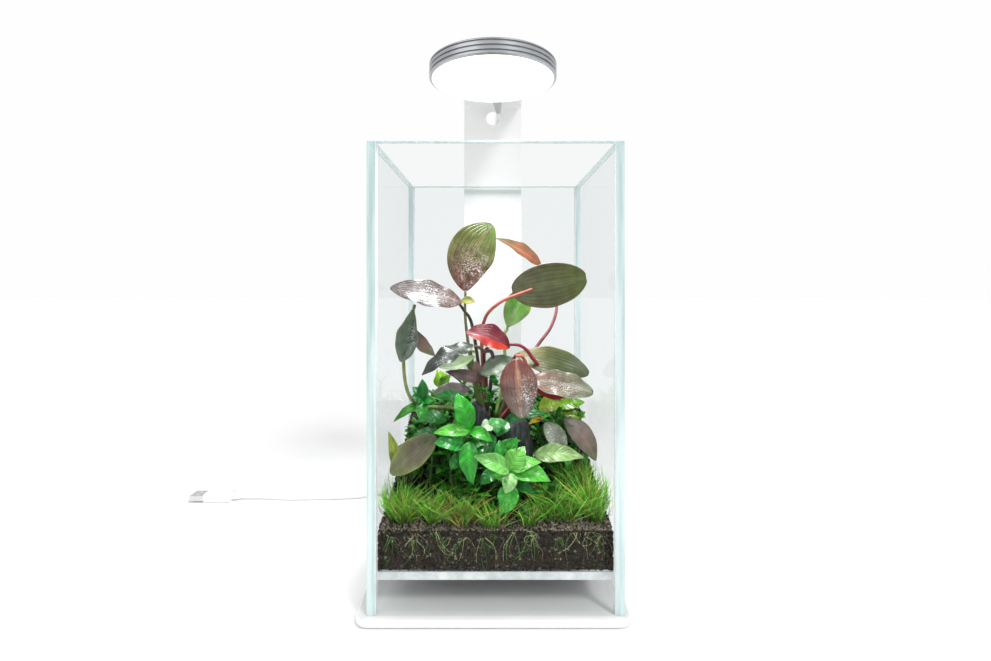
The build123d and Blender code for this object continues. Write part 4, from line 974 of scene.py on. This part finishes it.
def stem_paths():
    """Stems of all bushes: each starts on the bed and rises to its bush's height with a slight curve."""
    rows = np.repeat(np.array(bushes), [b[5] for b in bushes], 0)
    count = len(rows)
    spot = rng.uniform(-1, 1, (count, 2))
    x = np.clip(rows[:, 0] + spot[:, 0] * rows[:, 2], soil_low[0] + stem_gap, soil_high[0] - stem_gap)
    y = np.maximum(rows[:, 1] + spot[:, 1] * rows[:, 3], soil_low[1] + stem_gap)
    foot = np.column_stack([x, y, bank(y) - stem_sink])
    height = rows[:, 4] * rng.uniform(0.6, 1.0, count)
    lean = rng.normal(size=(count, 2)) * 0.12 * height[:, None]
    middle = foot + np.column_stack([lean * 0.2, height * 0.5])
    top = foot + np.column_stack([lean, height])
    return curve_through(np.stack([foot, middle, top], 1), stem_points)


stem_sink, stem_gap, stem_points = 0.002, 0.009, 9
green_stems = stem_paths()
pairs = 6
stem_index = np.repeat(np.arange(len(green_stems)), pairs * 2)
level_index = np.tile(np.repeat(np.arange(pairs), 2), len(green_stems))
side_index = np.tile(np.arange(2), len(green_stems) * pairs)
step_of_level = np.round(np.linspace(0.30, 1.0, pairs) * (stem_points - 1)).astype(int)
node_points = green_stems[stem_index, step_of_level[level_index]]
stem_turn = rng.uniform(0, math.tau, len(green_stems))
heading = stem_turn[stem_index] + level_index * math.pi / 2 + side_index * math.pi
heading += rng.normal(size=len(heading)) * 0.3
rise = np.linspace(-0.15, 0.75, pairs)[level_index] + rng.normal(size=len(heading)) * 0.2
lowest_leaf, topmost_leaf = 0.0155, 0.0105
size = np.linspace(lowest_leaf, topmost_leaf, pairs)[level_index] * rng.uniform(0.75, 1.2, len(heading))
ahead = np.column_stack([np.cos(heading) * np.cos(rise), np.sin(heading) * np.cos(rise), np.sin(rise)])
upward = np.column_stack([-np.cos(heading) * np.sin(rise), -np.sin(heading) * np.sin(rise), np.cos(rise)])
leaf_ends = node_points + ahead * size[:, None]
# Only the leaves whose tips stay inside the glass are kept.
glass_gap = 0.0015
inside = (leaf_ends > soil_low + glass_gap) & (leaf_ends < soil_high - glass_gap)
keeps = inside[:, 0] & inside[:, 1]
kept = keeps.sum()
green_rings, green_place = leaf_rings(
    base=node_points[keeps],
    tip=leaf_ends[keeps],
    width=size[keeps] * rng.uniform(0.42, 0.58, kept),
    facing=upward[keeps],
    bow=rng.uniform(0.04, 0.16, kept),
    fold=rng.uniform(0.1, 0.5, kept),
    ripple=rng.uniform(0.03, 0.15, kept),
    twist=rng.normal(size=kept) * 0.3,
    sweep=rng.normal(size=kept) * 0.08,
    belly=0.4,
    blunt=0.95,
    thickness=0.0003,
    rows=10,
    around=10,
)
bright = linear((66, 150, 40)) * rng.uniform(0.45, 1.15, (kept, 1))
bright = bright * (1 + rng.normal(size=(kept, 3)) * (0.18, 0.05, 0.15)).clip(0.4, 1.6)
green_tint = leaf_tint(green_place, bright * 1.1, bright, bright * 1.05, bright * 1.3, bright * 1.7, rib_width=0.1)
green_finish = leaf_finish("soft_green_leaf", 6.0, 0.22, 0.27, vein_shade=0.8, thin=0.22)
bush_leaves = skin("bush_leaves", green_rings, green_finish, green_tint, green_place)
stem_body = stalk_rings(green_stems, np.linspace(0.0011, 0.0007, stem_points)[None], 6)
bush_stems = skin("bush_stems", stem_body, plain_leaf, tint=stem_body * 0 + linear((74, 112, 40)))

# The leaves that stand out in front, each with its base, tip, width and bow in millimetres, and its colour.
front_leaves = (
    ((-37, -6, 122), (-41, -2, 135), 12, 0.1, (118, 168, 30)),
    ((-37, -6, 122), (-30, -10, 133), 10, 0.1, (104, 158, 40)),
    ((-47, -29, 120), (-48, -27, 133), 8, 0.1, (30, 130, 50)),
    ((-47, -29, 119), (-55, -33, 122), 8, 0.1, (40, 142, 60)),
    ((-47, -29, 118), (-38, -34, 120), 9, 0.1, (40, 140, 50)),
    ((-47, -29, 119), (-46, -40, 108), 9, 0.12, (52, 156, 50)),
    ((-47, -29, 119), (-55, -25, 127), 7, 0.1, (46, 150, 60)),
    ((-49, -29, 116), (-66, -36, 106), 7, 0.25, (60, 140, 40)),
    ((-14, -56, 107), (-23, -52, 129), 13, 0.10, (42, 158, 34)),
    ((-18, -39, 120), (-39, -38, 123), 9, 0.15, (34, 128, 44)),
    ((-14, -56, 106), (-37, -60, 106), 9, 0.14, (92, 184, 62)),
    ((-14, -56, 106), (0, -61, 101), 9, 0.22, (56, 160, 40)),
    ((-14, -56, 106), (-22, -46, 112), 8, 0.1, (60, 164, 40)),
    ((-18, -58, 99), (-36, -64, 101), 13, 0.12, (30, 142, 44)),
    ((-14, -60, 101), (-12, -67, 77), 12, 0.10, (48, 160, 44)),
    ((10, -62, 83), (-12, -66, 94), 12, 0.10, (122, 194, 98)),
    ((10, -61, 83), (20, -57, 97), 14, 0.12, (104, 182, 72)),
    ((10, -61, 82), (35, -65, 78), 13, 0.14, (88, 186, 64)),
    ((11, -61, 84), (30, -60, 88), 10, 0.14, (112, 192, 84)),
    ((10, -62, 82), (7, -68, 72), 10, 0.10, (150, 204, 126)),
    ((10, -63, 76), (4, -69, 60), 13, 0.10, (70, 176, 60)),
    ((10, -62, 80), (0, -66, 82), 9, 0.10, (80, 180, 60)),
    ((10, -58, 84), (4, -54, 100), 10, 0.10, (40, 144, 40)),
    ((8, -56, 88), (15, -54, 102), 9, 0.10, (54, 158, 48)),
    ((27, -42, 86), (59, -46, 86), 13, 0.08, (150, 186, 116)),
    ((-63, -48, 80), (-66, -52, 105), 7, 0.12, (140, 156, 56)),
    ((-37, -44, 104), (-56, -50, 95), 10, 0.12, (28, 112, 40)),
    ((-30, -40, 108), (-50, -44, 108), 10, 0.12, (36, 124, 40)),
    ((48, -2, 109), (67, -2, 111), 11, 0.12, (100, 150, 36)),
    ((49, -4, 104), (67, -6, 101), 10, 0.12, (132, 164, 60)),
    ((33, -6, 108), (49, -6, 112), 13, 0.12, (136, 166, 54)),
    ((34, -12, 104), (24, -24, 101), 7, 0.20, (192, 166, 40)),
    ((9, -36, 106), (36, -40, 112), 9, 0.14, (32, 104, 44)),
    ((9, -36, 107), (2, -42, 98), 10, 0.12, (56, 140, 62)),
    ((3, -38, 109), (3, -45, 101), 11, 0.12, (74, 158, 76)),
    ((-1, -43, 106), (-8, -47, 105), 9, 0.12, (166, 190, 158)),
    ((4, -54, 89), (18, -52, 99), 9, 0.10, (58, 158, 44)),
    ((-2, -42, 100), (-2, -50, 88), 11, 0.10, (30, 112, 40)),
    ((-6, -48, 96), (-16, -54, 88), 10, 0.10, (34, 120, 40)),
    ((2, -56, 80), (-8, -60, 74), 9, 0.12, (32, 118, 38)),
    ((14, -58, 76), (26, -62, 70), 9, 0.12, (36, 124, 40)),
    ((-16, -58, 88), (-26, -62, 84), 10, 0.12, (34, 126, 40)),
)
fronts = [np.array([leaf[i] for leaf in front_leaves], float) for i in range(5)]
outward = np.cross(np.cross(fronts[1] - fronts[0], (0.0, -0.75, 0.66)), fronts[1] - fronts[0])
front_rings, front_place = leaf_rings(
    base=fronts[0] * mm,
    tip=fronts[1] * mm,
    width=fronts[2] * mm,
    facing=outward,
    bow=fronts[3] * rng.uniform(0.8, 1.7, len(front_leaves)),
    fold=rng.uniform(0.12, 0.5, len(front_leaves)),
    ripple=rng.uniform(0.05, 0.16, len(front_leaves)),
    waves=rng.uniform(1.6, 3.2, len(front_leaves)),
    twist=rng.normal(size=len(front_leaves)) * 0.35,
    sweep=rng.normal(size=len(front_leaves)) * 0.07,
    belly=rng.uniform(0.36, 0.46, len(front_leaves)),
    blunt=0.92,
    thickness=0.0003,
    rows=26,
    around=20,
)
front_shade = linear(*fronts[4])
front_tint = leaf_tint(front_place, *(front_shade * share for share in (1.05, 1.0, 0.95, 1.2, 1.5)), rib_width=0.08)
plain_fronts = skin("front_leaves", front_rings, green_finish, front_tint, front_place)

# Five tiny rosettes of new shoots between the stones, with nine leaves each.
shoot_spots = ((-1, -14, 118), (-5, -18, 122), (2, -16, 126), (-3, -20, 116), (0, -18, 130))
shoots = np.repeat(np.array(shoot_spots) * mm, 9, 0)
shoot_turn = rng.uniform(0, math.tau, len(shoots))
shoot_rise = rng.uniform(-0.2, 1.2, len(shoots))
shoot_way = np.column_stack([np.cos(shoot_turn), np.sin(shoot_turn), np.tan(shoot_rise.clip(-0.2, 1.0))])
shoot_tips = shoots + unit(shoot_way) * rng.uniform(0.004, 0.0075, (len(shoots), 1))
shoot_rings, shoot_place = leaf_rings(
    base=shoots,
    tip=shoot_tips,
    width=0.0034,
    facing=np.cross(np.cross(shoot_way, (0, 0, 1.0)), shoot_way),
    bow=0.12,
    fold=0.25,
    thickness=0.00022,
    rows=8,
    around=8,
)
shoot_shade = linear((72, 178, 66)) * rng.uniform(0.7, 1.3, (len(shoots), 1))
shoot_tint = leaf_tint(shoot_place, *[shoot_shade] * 5)
new_shoots = skin("new_shoots", shoot_rings, green_finish, shoot_tint, shoot_place)
for piece in (bush_leaves, bush_stems, plain_fronts, new_shoots):
    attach(piece, "tank")
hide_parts("green_plant_front", "green_plant_left", "green_plant_right")


# ---------------------------------------------------------------- lamp
# A round low housing turned from aluminium, with three fine grooves round its rim and an opal acrylic diffuser
# below, held to the arm by a disc magnet in a turned holder. Its lead leaves through a ribbed soft sleeve.
def turned_aluminium(name):
    """Satin metal with faint rings left by the lathe tool round the upright axis."""
    material, tree, shader = new_material(name, Metallic=1.0, Roughness=0.33)
    place = object_place(tree)
    rings = add_node(tree, "TexWave", {"Vector": place, "Scale": 420.0, "Distortion": 0.6}, wave_type="RINGS")
    rings.rings_direction = "Z"
    tint = ramp(tree, noise(tree, place, 90.0, 4.0), (0.3, (0.44, 0.45, 0.47)), (0.7, (0.52, 0.53, 0.55)))
    tree.links.new(tint, shader.inputs["Base Color"])
    roughen(tree, shader, rings.outputs["Fac"], 0.15, 0.00004)
    return material


dress("lamp_housing magnet_holder", turned_aluminium("turned_aluminium"))
diffuser_finish, _, diffuser_shader = new_material("opal_acrylic", Roughness=0.4)
diffuser_shader.inputs["Base Color"].default_value = (0.92, 0.92, 0.91, 1.0)
diffuser_shader.inputs["Emission Color"].default_value = (1.0, 0.99, 0.97, 1.0)
diffuser_shader.inputs["Emission Strength"].default_value = 1.2
dress("diffuser", diffuser_finish)
dress("diffuser_seal", grained("seal_foam", (0.12, 0.12, 0.12), 0.9))
dress("led_board", grained("board_aluminium", (0.7, 0.7, 0.7), 0.35, metal=1.0))
dress("led_chips", grained("led_package", (0.85, 0.75, 0.35), 0.5))
dress("driver_parts", grained("driver_package", (0.05, 0.05, 0.05), 0.5))
dress("disc_magnet", grained("magnet_nickel", (0.7, 0.68, 0.64), 0.15, metal=1.0))
dress("lamp_wires", grained("wire_sleeve", (0.7, 0.7, 0.7), 0.5))
dress("cable_clips", grained("clip_plastic", (0.83, 0.84, 0.84), 0.3))
dress("clip_pads", grained("clip_adhesive", (0.75, 0.75, 0.73), 0.8))

light_data = bpy.data.lights.new("lamp_glow", "AREA")
light_data.shape = "DISK"
light_data.size = 0.078
light_data.energy = 0.42
light_data.spread = math.radians(110)
lamp_light = bpy.data.objects.new("lamp_glow", light_data)
diffuser_low, diffuser_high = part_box("diffuser")
lamp_centre = 0.5 * (diffuser_low + diffuser_high)
glow_gap = 0.0005
lamp_light.location = (lamp_centre[0], lamp_centre[1], diffuser_low[2] - glow_gap)
bpy.context.collection.objects.link(lamp_light)


# ---------------------------------------------------------------- lamp lead
# The lamp's round white lead leaves through a ribbed sleeve of clear grey soft plastic, passes through the post's
# hole and runs down the post's back in three clips. It bends between the lamp's sleeve and the hole.
lead_low, lead_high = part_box("lamp_lead")
clip_low, clip_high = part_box("cable_clips")
outlet_turn = math.radians(3.5)
sleeve_start, sleeve_tip = 0.0384, 0.0783
lead_step, bend_radius, down_radius = 0.0015, 0.018, 0.006
outlet = np.array((math.sin(outlet_turn), math.cos(outlet_turn), 0.0))
lead_level = lead_high[2] - cord_radius
axis = np.array((lamp_centre[0], lamp_centre[1], lead_level))
down_x = (clip_low[0] + clip_high[0]) / 2
down_y = lead_high[1] - cord_radius
corners = np.array(
    [
        axis + outlet * sleeve_start,
        axis + outlet * sleeve_tip,
        (down_x, down_y, lead_level),
        (down_x, down_y, lead_low[2]),
    ]
)


def rounded(points, radii):
    """Straight runs joined by arcs: each corner is replaced by points on the arc that touches both of its runs."""
    path = [points[0]]
    for before, corner, after, radius in zip(points, points[1:], points[2:], radii):
        back, on = unit(before - corner), unit(after - corner)
        half = math.acos(float(np.clip(back @ on, -1, 1))) / 2
        centre = corner + unit(back + on) * radius / math.sin(half)
        first = corner + back * radius / math.tan(half) - centre
        last = corner + on * radius / math.tan(half) - centre
        sweep = math.pi - 2 * half
        share = np.linspace(0, 1, 14)[:, None]
        path += list(centre + (first * np.sin((1 - share) * sweep) + last * np.sin(share * sweep)) / math.sin(sweep))
    return np.array(path + [points[-1]])


def evenly(path, step):
    """Points a step apart along a path."""
    run = np.concatenate([[0], np.cumsum(np.linalg.norm(np.diff(path, axis=0), axis=1))])
    along = np.linspace(0, run[-1], int(run[-1] / step) + 1)
    return np.column_stack([np.interp(along, run, path[:, i]) for i in range(3)])


lead_path = evenly(rounded(corners, (bend_radius, down_radius)), lead_step)
lead_way = unit(np.gradient(lead_path, axis=0))
across = np.array((1.0, 0.0, 0.0))
lead_angle = np.linspace(0, math.tau, 20, endpoint=False)[None, :, None]
side = unit(across - lead_way * (lead_way @ across)[:, None])
ring = np.cos(lead_angle) * np.cross(lead_way, side)[:, None] + np.sin(lead_angle) * side[:, None]
lead_rings = (lead_path[:, None] + cord_radius * ring)[None]
lamp_lead = skin("lamp_lead_bent", lead_rings, cord_finish)
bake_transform(lamp_lead)
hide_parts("lamp_lead")
sleeve_finish, _, sleeve_shader = new_material("sleeve_plastic", Roughness=0.4)
sleeve_shader.inputs["Base Color"].default_value = (0.50, 0.51, 0.52, 1.0)
sleeve_shader.inputs["Transmission Weight"].default_value = 0.25
dress("strain_relief", sleeve_finish)
